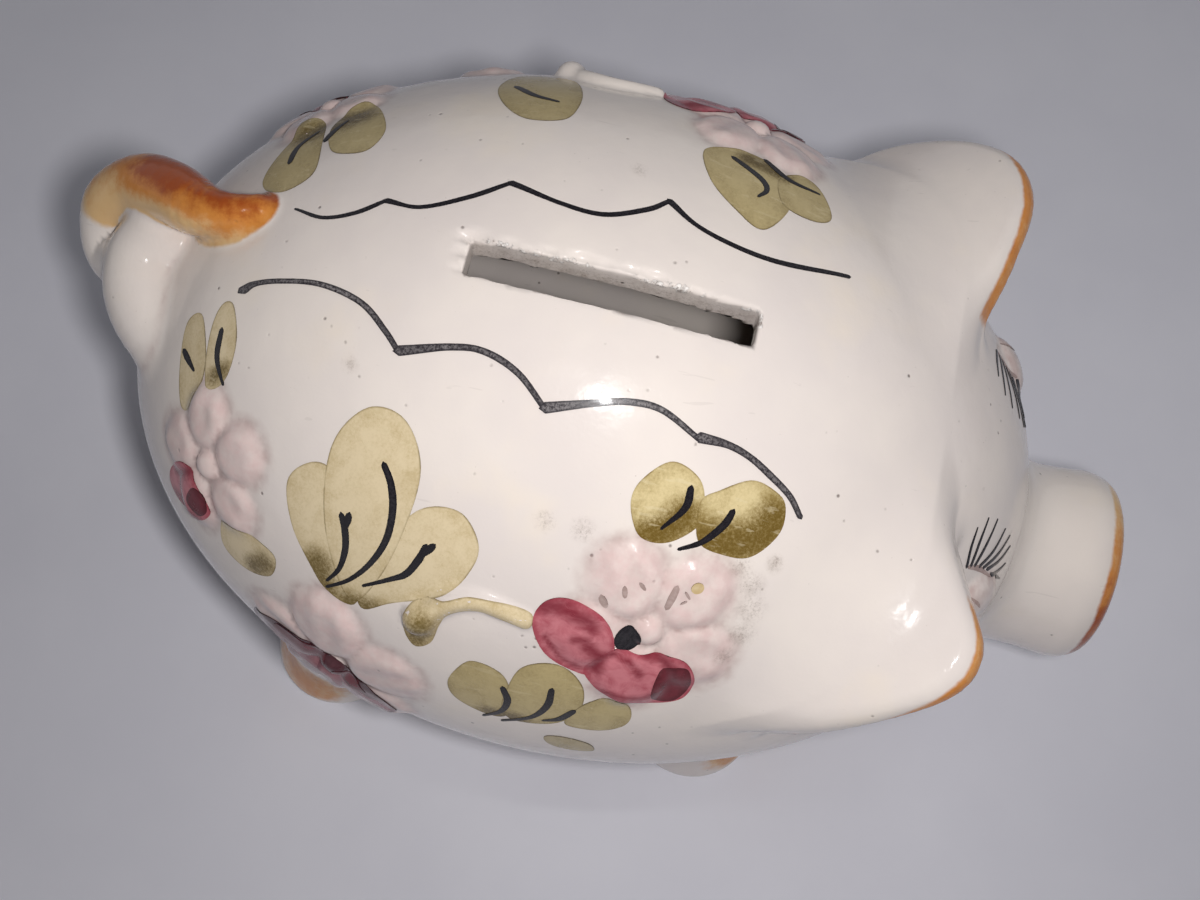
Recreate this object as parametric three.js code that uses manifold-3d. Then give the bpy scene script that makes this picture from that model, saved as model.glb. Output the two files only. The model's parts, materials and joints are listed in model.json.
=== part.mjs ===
// A hollow pottery piggy bank: a thrown egg-shaped shell with luted clay snout, ears, legs and tail,
// sprigged relief flowers on the flanks, a coin slot in the back and a rubber stopper in the belly.
// Millimetres, +Z up. The pig looks along -Y, so its left side is +X. Its hooves stand on z = 0.
import * as THREE from 'three';
import { mergeVertices } from 'three/addons/utils/BufferGeometryUtils.js';
import Module from 'manifold-3d';

const wasm = await Module();
wasm.setup();

// ---------- driving dimensions ----------
const CLAY_GAP = 0.3;                              // joint between two luted pieces of clay
const BODY = { halfWidth: 50, halfLength: 66.5, halfHeight: 45, centreHeight: 57 };
const BODY_TILT = THREE.MathUtils.degToRad(3.5);   // the rump stands a little higher than the head
const WALL = 6;
const SLOT = { length: 36, width: 4.8, centreY: -1 };
const STOPPER = { seatHeight: 15.8, holeRadius: 15, seatRadius: 19, plugRadius: 14.6, flangeRadius: 18 };
const STOPPER_PLUG = { top: 22, wall: 2.2, webTop: 16.5, flangeBottom: 13.2, grooveRadius: 13.9 };
const SNOUT = { radius: 14.2, rimRadius: 15.2, frontY: -81.5, rootY: -54, height: 44.5, dish: 1.4 };
const NOSTRIL = { spacing: 6.2, radius: 2.6, rise: 1, depth: 6 };
const EAR = { halfBase: 19, reach: 20.5, rootDepth: 9, thickness: 4, bevel: 1.6, droop: 0.011 };
const EAR_PLACE = { root: [26, -39, 76], chord: [-0.78, -0.51, 0.38], tipward: [0.5, -0.68, 0.52] };
const EYE = { y: -57, angle: 46, halfWidth: 3.2, halfLength: 4.2, rise: 2 };
const LEG = { haunchRadius: 12, hoofRadius: 11.5, soleRadius: 10, height: 44, splay: 0.16 };
const LEG_FRONT = { x: 31, y: -29.5 };
const LEG_REAR = { x: 33, y: 36 };
const CLEFT = { width: 2.2, depth: 4.5, height: 9 };
const TAIL_ROOT = {
  course: [[-10, 54, 72], [-8, 59, 75.5], [-4.5, 62, 77.5], [-0.5, 62.8, 79], [2.5, 61.5, 80.5]],
  radii: [6.2, 5.6, 5.2, 4.9], steps: 10, sides: 12,
};
const TAIL_LOOP = {
  course: [[0, 65.5, 76], [1.2, 68.6, 73.4], [3.6, 70.4, 74.4], [6.7, 69.8, 78.5], [8.1, 65.3, 82.8],
    [6.3, 59.4, 86.6], [3.8, 54.3, 89], [3.2, 50, 90.6], [4.4, 46.4, 91.2]],
  radii: [4.4, 4.2, 4.2, 4.3, 4.3, 3.9, 2.9, 2], steps: 24, sides: 12,
};
const PETALS = 5;
const FLOWER_FRONT = { y: -12.7, angle: 50.5, radius: 12.5, firstPetal: 34 };
const FLOWER_REAR = { y: 25, angle: 81, radius: 14.5, firstPetal: 12 };
const FLOWER_RUMP = { y: 46, angle: 52, radius: 10.5, firstPetal: 20 };
const STEM = { radii: [1.1, 1.5], beadRadius: 2.3, beadRise: 1.8, steps: 18, sides: 8 };
const STEM_COURSE = [[3.4, 53], [6, 52], [9, 52], [12, 54], [14.5, 58]];

// ---------- solids ----------
function toSolid(geometry) {
  const bare = geometry.clone();
  bare.deleteAttribute('normal');
  bare.deleteAttribute('uv');
  const merged = mergeVertices(bare, 1e-4);
  const vertProperties = new Float32Array(merged.attributes.position.array);
  const triVerts = new Uint32Array(merged.index.array);
  return new wasm.Manifold(new wasm.Mesh({ numProp: 3, vertProperties, triVerts }));
}

function toGeometry(solid) {
  const mesh = solid.getMesh();
  const geometry = new THREE.BufferGeometry();
  geometry.setAttribute('position', new THREE.BufferAttribute(mesh.vertProperties, mesh.numProp));
  geometry.setIndex(new THREE.BufferAttribute(mesh.triVerts, 1));
  geometry.computeVertexNormals();
  return geometry;
}

// An ellipsoid whose poles lie on Y, the long way of the body.
function ellipsoid(halfX, halfY, halfZ, around, along) {
  return new THREE.SphereGeometry(1, around, along).scale(halfX, halfY, halfZ);
}

// The body's own frame: its middle, with Y along the tilted egg.
const bodyFrame = new THREE.Matrix4().makeRotationX(BODY_TILT).setPosition(0, 0, BODY.centreHeight);
const toBody = bodyFrame.clone().invert();

// The body's egg, grown by `extra` on every side, tilted and lifted to its place.
function bodyEgg(extra, around, along) {
  const { halfWidth, halfLength, halfHeight } = BODY;
  const egg = ellipsoid(halfWidth + extra, halfLength + extra, halfHeight + extra, around, along);
  return egg.applyMatrix4(bodyFrame);
}

const BODY_AROUND = 40;
const BODY_ALONG = 26;
const clearOfBody = toSolid(bodyEgg(CLAY_GAP, BODY_AROUND, BODY_ALONG));

// A piece of clay cut where it meets the body.
function luted(solid) {
  return toGeometry(solid.subtract(clearOfBody));
}

// The place on the body at `y`, turned `angle` degrees from the top towards the pig's left (+X),
// as a frame whose Z axis is the surface's outward normal and whose Y axis runs towards the rump.
function onBody(y, angle) {
  const turn = THREE.MathUtils.degToRad(angle);
  const { halfWidth, halfLength, halfHeight } = BODY;
  const sine = Math.sin(turn) / halfWidth;
  const cosine = Math.cos(turn) / halfHeight;
  const reach = Math.sqrt((1 - (y / halfLength) ** 2) / (sine ** 2 + cosine ** 2));
  const point = new THREE.Vector3(reach * Math.sin(turn), y, reach * Math.cos(turn));
  const normal = new THREE.Vector3(point.x / halfWidth ** 2, y / halfLength ** 2, point.z / halfHeight ** 2);
  normal.normalize();
  const right = new THREE.Vector3(0, 1, 0).cross(normal).normalize();
  const along = new THREE.Vector3().crossVectors(normal, right);
  return bodyFrame.clone().multiply(new THREE.Matrix4().makeBasis(right, along, normal).setPosition(point));
}

// A round-ended clay cord along a curve, its radius eased through `radii` from root to tip.
function clayCord(curve, { radii, steps, sides }) {
  const radiusAt = (share) => {
    const place = share * (radii.length - 1);
    const span = Math.min(Math.floor(place), radii.length - 2);
    return THREE.MathUtils.lerp(radii[span], radii[span + 1], place - span);
  };
  const tipRadius = radiusAt(1);
  const frames = curve.computeFrenetFrames(steps, false);
  const vertices = [];
  const faces = [];
  const endRings = 4;
  const addRing = (centre, step, radius) => {
    for (let side = 0; side < sides; side += 1) {
      const turn = (side / sides) * 2 * Math.PI;
      const spoke = frames.normals[step].clone().multiplyScalar(Math.cos(turn) * radius);
      spoke.addScaledVector(frames.binormals[step], Math.sin(turn) * radius).add(centre);
      vertices.push(spoke.x, spoke.y, spoke.z);
    }
  };
  for (let step = 0; step <= steps; step += 1) {
    const share = step / steps;
    addRing(curve.getPointAt(share), step, radiusAt(share));
  }
  const tip = curve.getPointAt(1);
  const forward = curve.getTangentAt(1);
  for (let ring = 1; ring < endRings; ring += 1) {
    const bend = (ring / endRings) * (Math.PI / 2);
    const centre = tip.clone().addScaledVector(forward, tipRadius * Math.sin(bend));
    addRing(centre, steps, tipRadius * Math.cos(bend));
  }
  const rings = steps + endRings;
  for (let ring = 0; ring < rings - 1; ring += 1) {
    for (let side = 0; side < sides; side += 1) {
      const next = (side + 1) % sides;
      const [a, b] = [ring * sides + side, ring * sides + next];
      faces.push(a, b, b + sides, a, b + sides, a + sides);
    }
  }
  const root = curve.getPointAt(0);
  const end = tip.clone().addScaledVector(forward, tipRadius);
  const rootIndex = vertices.length / 3;
  vertices.push(root.x, root.y, root.z, end.x, end.y, end.z);
  const last = (rings - 1) * sides;
  for (let side = 0; side < sides; side += 1) {
    const next = (side + 1) % sides;
    faces.push(rootIndex, next, side);
    faces.push(rootIndex + 1, last + side, last + next);
  }
  const geometry = new THREE.BufferGeometry();
  geometry.setAttribute('position', new THREE.Float32BufferAttribute(vertices, 3));
  geometry.setIndex(faces);
  return geometry;
}

// ---------- the hollow body ----------
function bodyShell() {
  const outside = toSolid(bodyEgg(0, BODY_AROUND, BODY_ALONG));
  const inside = toSolid(bodyEgg(-WALL, 24, 16));
  const slotBox = new THREE.BoxGeometry(SLOT.width, SLOT.length, BODY.halfHeight);
  slotBox.translate(0, SLOT.centreY, BODY.centreHeight + BODY.halfHeight);
  const hole = new THREE.CylinderGeometry(STOPPER.holeRadius, STOPPER.holeRadius, BODY.halfHeight, 32);
  hole.rotateX(Math.PI / 2).translate(0, 0, STOPPER.seatHeight);
  const seat = new THREE.CylinderGeometry(STOPPER.seatRadius, STOPPER.seatRadius, STOPPER.seatHeight, 32);
  seat.rotateX(Math.PI / 2).translate(0, 0, STOPPER.seatHeight / 2);
  const shell = outside.subtract(inside).subtract(toSolid(slotBox));
  return toGeometry(shell.subtract(toSolid(hole)).subtract(toSolid(seat)));
}

// ---------- the rubber stopper: plug cup, sealing groove, flange and finger bar ----------
function stopper() {
  const { plugRadius, flangeRadius, seatHeight } = STOPPER;
  const { top, wall, webTop, flangeBottom, grooveRadius } = STOPPER_PLUG;
  const flangeTop = seatHeight - CLAY_GAP;
  const profile = [
    [0, flangeBottom], [flangeRadius - 1, flangeBottom], [flangeRadius, flangeBottom + 1],
    [flangeRadius, flangeTop], [plugRadius, flangeTop], [plugRadius, 17.2],
    [grooveRadius, 17.8], [grooveRadius, 19], [plugRadius, 19.6], [plugRadius, top - 1],
    [plugRadius - 1, top], [plugRadius - wall, top], [plugRadius - wall, webTop], [0, webTop],
  ];
  const turned = new THREE.LatheGeometry(profile.map(([r, z]) => new THREE.Vector2(r, z)), 32);
  turned.rotateX(Math.PI / 2);
  const bar = new THREE.BoxGeometry(16, 3.4, 3.2).translate(0, 0, flangeBottom - 1);
  return toGeometry(toSolid(turned).add(toSolid(bar)));
}

// ---------- the snout: a fat disc with a dished front and two nostrils ----------
function snout() {
  const { radius, rimRadius, frontY, rootY, height, dish } = SNOUT;
  const length = rootY - frontY;
  const outline = new THREE.Path().moveTo(0, 0).lineTo(radius, 0).lineTo(radius - 0.6, length * 0.45);
  outline.quadraticCurveTo(radius - 0.6, length * 0.7, rimRadius - 0.4, length - 3.5);
  outline.quadraticCurveTo(rimRadius + 0.6, length, rimRadius - 2.6, length);
  outline.quadraticCurveTo(radius * 0.5, length - dish, 0, length - dish);
  const disc = new THREE.LatheGeometry(outline.getPoints(4), 24);
  disc.rotateX(Math.PI).translate(0, rootY, height);
  let solid = toSolid(disc);
  for (const side of [-1, 1]) {
    const hole = new THREE.CylinderGeometry(NOSTRIL.radius, NOSTRIL.radius * 0.7, NOSTRIL.depth * 2, 16);
    hole.rotateX(Math.PI).scale(1, 1, 1.4).translate(side * NOSTRIL.spacing, frontY, height + NOSTRIL.rise);
    solid = solid.subtract(toSolid(hole));
  }
  return luted(solid);
}

// ---------- an ear: a rounded triangular flap that folds forward over the brow ----------
function ear(side) {
  const { halfBase, reach, rootDepth, thickness, bevel, droop } = EAR;
  const outline = new THREE.Shape().moveTo(-halfBase, -rootDepth).lineTo(halfBase, -rootDepth);
  outline.lineTo(halfBase, 0).bezierCurveTo(halfBase - 2, 9, halfBase - 6, reach - 2, 6, reach - 1);
  outline.bezierCurveTo(-2, reach + 1, -halfBase + 4, 9, -halfBase, 0).lineTo(-halfBase, -rootDepth);
  const flap = new THREE.ExtrudeGeometry(outline, {
    depth: thickness - 2 * bevel, steps: 1, curveSegments: 9,
    bevelThickness: bevel, bevelSize: bevel, bevelOffset: -bevel, bevelSegments: 3,
  });
  const place = flap.attributes.position;
  for (let i = 0; i < place.count; i += 1) {
    const across = place.getX(i);
    place.setZ(i, place.getZ(i) - droop * across ** 2 + 2);
  }
  const chord = new THREE.Vector3(...EAR_PLACE.chord).normalize();
  const tipward = new THREE.Vector3(...EAR_PLACE.tipward);
  tipward.addScaledVector(chord, -tipward.dot(chord)).normalize();
  const back = new THREE.Vector3().crossVectors(chord, tipward);
  flap.applyMatrix4(new THREE.Matrix4().makeBasis(chord, tipward, back).setPosition(...EAR_PLACE.root));
  let solid = toSolid(flap);
  if (side < 0) {
    solid = solid.mirror([1, 0, 0]);
  }
  return luted(solid);
}

// ---------- a leg: a stub with a rounded hoof, a flat sole and a cleft in front ----------
function leg(side, { x, y }) {
  const { haunchRadius, hoofRadius, soleRadius, height, splay } = LEG;
  const outline = new THREE.Path().moveTo(0, 0).lineTo(soleRadius, 0);
  outline.quadraticCurveTo(hoofRadius, 0, hoofRadius, 2.5).lineTo(hoofRadius, 6);
  outline.bezierCurveTo(hoofRadius - 1.5, 14, haunchRadius, 18, haunchRadius, 26);
  outline.bezierCurveTo(haunchRadius, 36, haunchRadius * 0.6, height, 0, height);
  const stub = new THREE.LatheGeometry(outline.getPoints(4), 20).rotateX(Math.PI / 2);
  const place = stub.attributes.position;
  for (let i = 0; i < place.count; i += 1) {
    const inward = splay * place.getZ(i);
    place.setX(i, place.getX(i) + side * (x - inward));
    place.setY(i, place.getY(i) + y - Math.sign(y) * inward);
  }
  const notch = new THREE.BoxGeometry(CLEFT.width, CLEFT.depth * 2, CLEFT.height * 2);
  notch.translate(side * x, y - hoofRadius, 0);
  return luted(toSolid(stub).subtract(toSolid(notch)));
}

// ---------- the curled tail: a root that folds into a loop, its tip lying on the back ----------
function tail() {
  const cords = [TAIL_ROOT, TAIL_LOOP].map((cord) => {
    const path = new THREE.CatmullRomCurve3(cord.course.map((point) => new THREE.Vector3(...point)));
    return toSolid(clayCord(path, cord));
  });
  return luted(cords[0].add(cords[1]));
}

// ---------- a sprigged flower: five low petals round a button ----------
function flower(side, { y, angle, radius, firstPetal }) {
  const petalReach = radius * 0.56;
  const middle = onBody(y, side * angle);
  const turn = THREE.MathUtils.degToRad(side < 0 ? firstPetal : 180 - firstPetal);
  let solid = toSolid(ellipsoid(2.4, 2.4, 1.9, 10, 6).applyMatrix4(middle));
  for (let petal = 0; petal < PETALS; petal += 1) {
    const heading = turn + (petal / PETALS) * 2 * Math.PI;
    const offset = new THREE.Vector3(Math.cos(heading) * petalReach, Math.sin(heading) * petalReach, 0);
    offset.applyMatrix4(middle).applyMatrix4(toBody);
    const spot = onBody(offset.y, THREE.MathUtils.radToDeg(Math.atan2(offset.x, offset.z)));
    const lobe = ellipsoid(radius * 0.42, radius * 0.46, 1.9, 12, 6);
    solid = solid.add(toSolid(lobe.applyMatrix4(spot)));
  }
  return luted(solid);
}

// ---------- a slip-trailed stem curling from a flower, with a bead at its end ----------
function stem(side) {
  const route = STEM_COURSE.map(([y, angle]) => new THREE.Vector3().setFromMatrixPosition(onBody(y, side * angle)));
  const trail = clayCord(new THREE.CatmullRomCurve3(route), STEM);
  const [endY, endAngle] = STEM_COURSE.at(-1);
  const bead = ellipsoid(STEM.beadRadius, STEM.beadRadius, STEM.beadRise, 12, 8);
  bead.applyMatrix4(onBody(endY, side * (endAngle + 1)));
  return luted(toSolid(trail).add(toSolid(bead)));
}

// ---------- an eye: a low oval bead on the brow, under the ear ----------
function eye(side) {
  const bead = ellipsoid(EYE.halfWidth, EYE.halfLength, EYE.rise, 14, 8);
  return luted(toSolid(bead.applyMatrix4(onBody(EYE.y, side * EYE.angle))));
}

// ---------- colours and assembly ----------
const GLAZE_ROUGHNESS = 0.22;
const RUBBER_ROUGHNESS = 0.7;
const CREAM = 0xe9e2da;
const PINK = 0xe0c4bd;
const CRIMSON = 0xb0606a;
const OCHRE = 0xb98a5c;
const RUBBER = 0x3a3a3c;

const pig = new THREE.Group();
function place(name, geometry, color, roughness = GLAZE_ROUGHNESS) {
  const mesh = new THREE.Mesh(geometry, new THREE.MeshStandardMaterial({ color, roughness, metalness: 0 }));
  mesh.name = name;
  pig.add(mesh);
}

place('body_shell', bodyShell(), CREAM);
place('snout', snout(), CREAM);
place('tail', tail(), OCHRE);
for (const [name, side] of [['left', 1], ['right', -1]]) {
  place(`ear_${name}`, ear(side), CREAM);
  place(`eye_${name}`, eye(side), CREAM);
  place(`leg_front_${name}`, leg(side, LEG_FRONT), CREAM);
  place(`leg_rear_${name}`, leg(side, LEG_REAR), CREAM);
  place(`flower_front_${name}`, flower(side, FLOWER_FRONT), PINK);
  place(`flower_rear_${name}`, flower(side, FLOWER_REAR), CRIMSON);
  place(`flower_rump_${name}`, flower(side, FLOWER_RUMP), PINK);
  place(`stem_${name}`, stem(side), CREAM);
}
place('stopper', stopper(), RUBBER, RUBBER_ROUGHNESS);

// The origin is the middle of the footprint, under the whole pig with its snout and tail.
const footprint = new THREE.Box3().setFromObject(pig).getCenter(new THREE.Vector3());
pig.position.y = -footprint.y;

export default pig;
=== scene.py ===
import json
import math
from functools import partial

import bmesh
import bpy
import numpy as np
from mathutils import Matrix, Vector
from mathutils.geometry import delaunay_2d_cdt

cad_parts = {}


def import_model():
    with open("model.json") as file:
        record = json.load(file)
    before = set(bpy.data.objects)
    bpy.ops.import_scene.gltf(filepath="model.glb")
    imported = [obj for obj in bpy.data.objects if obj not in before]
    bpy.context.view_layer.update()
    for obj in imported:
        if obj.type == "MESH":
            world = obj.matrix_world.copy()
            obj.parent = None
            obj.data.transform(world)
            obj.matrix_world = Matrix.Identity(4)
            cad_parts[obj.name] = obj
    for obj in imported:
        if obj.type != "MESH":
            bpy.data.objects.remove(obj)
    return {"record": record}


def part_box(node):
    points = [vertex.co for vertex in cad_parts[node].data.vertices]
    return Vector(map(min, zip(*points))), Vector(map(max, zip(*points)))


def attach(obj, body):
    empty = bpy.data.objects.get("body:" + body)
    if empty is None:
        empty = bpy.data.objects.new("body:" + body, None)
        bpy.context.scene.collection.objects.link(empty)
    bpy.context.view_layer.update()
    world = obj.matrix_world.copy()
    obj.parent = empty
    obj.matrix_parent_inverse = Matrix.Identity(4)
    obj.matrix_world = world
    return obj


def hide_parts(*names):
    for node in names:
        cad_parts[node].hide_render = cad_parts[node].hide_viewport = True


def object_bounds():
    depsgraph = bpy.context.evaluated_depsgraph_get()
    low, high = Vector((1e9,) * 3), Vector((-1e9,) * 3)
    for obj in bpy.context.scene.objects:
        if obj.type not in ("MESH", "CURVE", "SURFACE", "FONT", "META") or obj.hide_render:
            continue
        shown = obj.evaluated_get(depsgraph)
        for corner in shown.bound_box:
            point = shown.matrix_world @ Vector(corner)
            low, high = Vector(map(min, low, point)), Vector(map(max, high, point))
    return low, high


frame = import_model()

CAD_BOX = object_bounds()

# A cream-glazed pottery piggy bank with sprigged relief flowers and brushed decoration. The fired clay is
# one smooth distance field, meshed and cut into one piece for each part of the CAD model. The brushwork
# lies on it as thin films of paint. The colour of rims, hooves and petals is worked out at each point of
# the clay.
# Lengths are in millimetres in the pig's own frame: +Z up, the snout along -Y, its left side +X.
MM = 0.001
FINE_CELL = 0.68
INSIDE_CELL = 1.1
SIDES = (("left", 1), ("right", -1))


def node_box(node):
    return np.array([list(corner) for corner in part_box(node)]) / MM


def middle_of(node):
    return node_box(node).mean(axis=0)


def unit(vector):
    return vector / np.linalg.norm(vector)


# ---------- the body's egg ----------
EGG_RADII = np.array([50.0, 66.5, 45.0])
EGG_CENTRE = np.array([0.0, middle_of("body_shell")[1], 57.0])
EGG_TILT = math.radians(3.5)
WALL = 6.0
SLOT = {"y": EGG_CENTRE[1] - 1, "length": 36.0, "width": 4.8}
TILT_ROWS = np.array([[1, 0, 0],
                      [0, math.cos(EGG_TILT), math.sin(EGG_TILT)],
                      [0, -math.sin(EGG_TILT), math.cos(EGG_TILT)]])
SHIFT = np.array([0, EGG_CENTRE[1], 0])


def smooth_min(a, b, blend):
    """The lesser of two distances, melted together where they differ by less than `blend`."""
    mix = np.clip(0.5 + 0.5 * (b - a) / blend, 0, 1)
    return b + (a - b) * mix - blend * mix * (1 - mix)


def smooth_max(a, b, blend):
    return -smooth_min(-a, -b, blend)


def ellipsoid(points, radii):
    """Near-surface distance to an ellipsoid centred on the origin."""
    scaled = np.linalg.norm(points / radii, axis=1)
    slope = np.linalg.norm(points / np.square(radii), axis=1) + 1e-9
    return scaled * (scaled - 1) / slope


def egg(points, grow=0.0):
    """Distance to the body's egg, grown by some millimetres on every side."""
    return ellipsoid((points - EGG_CENTRE) @ TILT_ROWS.T, EGG_RADII + grow)


def on_egg(y, angle):
    """A point of the egg, at y and `angle` degrees from the top towards +X, and the axes of its surface."""
    turn = math.radians(angle)
    rx, ry, rz = EGG_RADII
    reach = math.sqrt((1 - (y / ry) ** 2) / ((math.sin(turn) / rx) ** 2 + (math.cos(turn) / rz) ** 2))
    point = np.array([reach * math.sin(turn), y, reach * math.cos(turn)])
    normal = unit(point / EGG_RADII ** 2)
    right = unit(np.cross([0, 1, 0], normal))
    axes = np.array([right, np.cross(normal, right), normal])
    return point @ TILT_ROWS + EGG_CENTRE, axes @ TILT_ROWS


def catmull(points, samples, closed=False):
    """A smooth curve through the points, evenly stepped in its parameter."""
    knots = np.asarray(points, float)
    count = len(knots)
    spans = count if closed else count - 1
    steps = np.linspace(0, spans, samples, endpoint=not closed)
    curve = []
    for step in steps:
        span = min(int(step), spans - 1)
        share = step - span
        if closed:
            a, b, c, d = (knots[(span + k) % count] for k in (-1, 0, 1, 2))
        else:
            b, c = knots[span], knots[span + 1]
            a = knots[span - 1] if span > 0 else 2 * b - c
            d = knots[span + 2] if span + 2 < count else 2 * c - b
        curve.append(0.5 * (2 * b + (c - a) * share + (2 * a - 5 * b + 4 * c - d) * share ** 2
                            + (3 * b - a - 3 * c + d) * share ** 3))
    return np.array(curve)


def cord_distance(points, path, radii):
    """Distance to a round cord along a path, its radius changing evenly between path points."""
    best = np.full(len(points), 1e3)
    for start, end, r0, r1 in zip(path[:-1], path[1:], radii[:-1], radii[1:]):
        along = end - start
        share = np.clip((points - start) @ along / (along @ along), 0, 1)
        gap = np.linalg.norm(points - start - share[:, None] * along, axis=1)
        best = np.minimum(best, gap - r0 - share * (r1 - r0))
    return best


def outline_distance(points, outline):
    """Signed distance in the plane to a closed outline, negative inside."""
    best = np.full(len(points), 1e6)
    inside = np.zeros(len(points), bool)
    for start, end in zip(outline, np.roll(outline, -1, axis=0)):
        along = end - start
        offset = points - start
        share = np.clip(offset @ along / (along @ along + 1e-12), 0, 1)
        best = np.minimum(best, np.sum((offset - share[:, None] * along) ** 2, axis=1))
        crosses = (points[:, 1] < start[1]) != (points[:, 1] < end[1])
        reach = offset[:, 0] * along[1] - offset[:, 1] * along[0]
        inside ^= crosses & ((reach < 0) == (along[1] > 0))
    return np.where(inside, -1, 1) * np.sqrt(best)


def rounded_slab(flat, thick, rounding):
    """Joins a distance in the plane and one across it into a rounded slab."""
    a, b = flat + rounding, thick + rounding
    outside = np.hypot(np.maximum(a, 0), np.maximum(b, 0))
    return outside + np.minimum(np.maximum(a, b), 0) - rounding


# ---------- the clay pieces, as distances ----------
SNOUT = {"front": node_box("snout")[0][1] - 2.3, "height": 44.0, "aside": -0.8, "radius": 14.4, "rim": 15.7,
         "depth": 14.0, "rounding": 6.8, "flare": 12.0, "dish_radius": 70.0, "dish": 1.2}
NOSTRIL = {"apart": 5.6, "rise": 1.0, "inward": 1.0, "radii": np.array([2.2, 5.0, 3.4])}
EAR_ROOT = np.array([26, -39, 76]) + SHIFT
EAR_CHORD = unit(np.array([-0.78, -0.51, 0.38]))
EAR_REACH = np.array([0.5, -0.68, 0.52])
EAR_TIPWARD = unit(EAR_REACH - (EAR_REACH @ EAR_CHORD) * EAR_CHORD)
EAR_AXES = np.array([EAR_CHORD, EAR_TIPWARD, np.cross(EAR_CHORD, EAR_TIPWARD)])
EAR = {"crown": 3.2, "curl_along": 0.011, "curl_out": 0.010, "tip": 2.1, "swell": 1.6, "rounding": 1.9}
# Each hand-shaped ear has its own outline, in millimetres along its chord and towards its tip.
EAR_OUTLINES = {
    1: catmull([(-23, -12), (-23, -1), (-20, 9.5), (-12.5, 17.8), (-4, 21.6), (4.5, 19.4), (11.5, 12),
                (16, 4), (20, -4), (20, -12)], 48, closed=True),
    -1: catmull([(-20, -12), (-20, -1.5), (-15.5, 6.5), (-7, 13.6), (3, 18.4), (9.5, 17), (13.5, 10.5),
                 (17, 3.5), (20, -4), (20, -12)], 48, closed=True),
}
LEG_PLACES = {"front": np.array([31, -29.5, 0]), "rear": np.array([33, 36, 0])}
LEG = {"splay": 0.16, "radius": 11.5, "waist": 1.1, "waist_height": 12.0, "top": 40.0, "sole_rounding": 2.6}
CLEFT = {"radius": 1.3, "narrowing": 0.09, "forward": 12.5}


def tapered_cord(points, radii, samples):
    """A cord's smooth path, and its radius at each step of it."""
    path = catmull(np.array(points) + SHIFT, samples)
    return path, np.interp(np.linspace(0, 1, samples), np.linspace(0, 1, len(radii)), radii)


TAIL_ROOT = tapered_cord([(-10, 54, 72), (-8, 59, 75.5), (-4.5, 62, 77.5), (-0.5, 62.8, 79),
                          (2.5, 61.5, 80.5)], (6.2, 5.6, 5.2, 4.9), 17)
TAIL_LOOP = tapered_cord([(0, 65.5, 76), (1.2, 68.6, 73.4), (3.6, 70.4, 74.4), (6.7, 69.8, 78.5),
                          (8.1, 65.3, 82.8), (6.3, 59.4, 86.6), (3.8, 54.3, 89), (3.2, 50, 90.6),
                          (4.4, 46.4, 91.2)], (4.4, 4.2, 4.2, 4.3, 4.3, 3.9, 2.9, 2.0), 33)


def snout(points):
    """A short round disc that widens to its rim, with a shallow dished face and two nostrils."""
    centre = np.array([SNOUT["aside"], SNOUT["front"], SNOUT["height"]])
    radial = np.hypot(points[:, 0] - centre[0], points[:, 2] - centre[2])
    forward = centre[1] - points[:, 1]
    flare = np.clip((forward + SNOUT["depth"]) / SNOUT["flare"], 0, 1) ** 2
    ring = radial - SNOUT["radius"] - flare * (SNOUT["rim"] - SNOUT["radius"])
    disc = rounded_slab(ring, np.abs(forward + SNOUT["depth"]) - SNOUT["depth"], SNOUT["rounding"])
    dish_centre = centre - [0, SNOUT["dish_radius"] - SNOUT["dish"], 0]
    dish = SNOUT["dish_radius"] - np.linalg.norm(points - dish_centre, axis=1)
    shape = smooth_max(disc, dish, 2.0)
    for side in (-1, 1):
        place = centre + [side * NOSTRIL["apart"], NOSTRIL["inward"], NOSTRIL["rise"]]
        shape = smooth_max(shape, -ellipsoid(points - place, NOSTRIL["radii"]), 1.4)
    return shape


def ear_place(points, side):
    """Points in the ear's own frame: along its chord, towards its tip, and out of its upper face."""
    return (points * [side, 1, 1] - EAR_ROOT) @ EAR_AXES.T


def ear(points, side):
    """A flap that curls down towards its edges and is thinner at its tip."""
    local = ear_place(points, side)
    flat = outline_distance(local[:, :2], EAR_OUTLINES[side])
    along, out = local[:, 0], np.maximum(local[:, 1], 0)
    crown = EAR["crown"] - EAR["curl_along"] * along ** 2 - EAR["curl_out"] * out ** 2
    half = EAR["tip"] + EAR["swell"] * np.clip((14 - local[:, 1]) / 18, 0, 1)
    return rounded_slab(flat, np.abs(local[:, 2] - crown) - half, EAR["rounding"])


def ear_blend(points, side):
    """The ear runs softly into the nape behind it but stands free of the brow below it."""
    return 2.5 + 6.5 * np.clip((ear_place(points, side)[:, 2] + 1) / 6, 0, 1)


def leg(points, side, foot):
    """A stub leg that leans outwards going down, narrower above its cloven hoof."""
    height = points[:, 2]
    inward = LEG["splay"] * height
    x = side * points[:, 0] - foot[0] + inward
    y = points[:, 1] - SHIFT[1] - foot[1] + math.copysign(1, foot[1]) * inward
    waist = LEG["waist"] * np.exp(-((height - LEG["waist_height"]) / 6.5) ** 2)
    radius = LEG["radius"] - waist + 0.4 * np.clip((height - 14) / 12, 0, 1)
    half = LEG["top"] / 2
    stub = rounded_slab(np.hypot(x, y) - radius, np.abs(height - half) - half, LEG["sole_rounding"])
    cleft = np.hypot(x, 0.35 * (y + CLEFT["forward"])) - CLEFT["radius"] + CLEFT["narrowing"] * height
    return smooth_max(stub, -cleft, 1.2)


def tail_loop(points):
    return cord_distance(points, *TAIL_LOOP)


def tail(points):
    return smooth_min(cord_distance(points, *TAIL_ROOT), tail_loop(points), 1.5)


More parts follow.
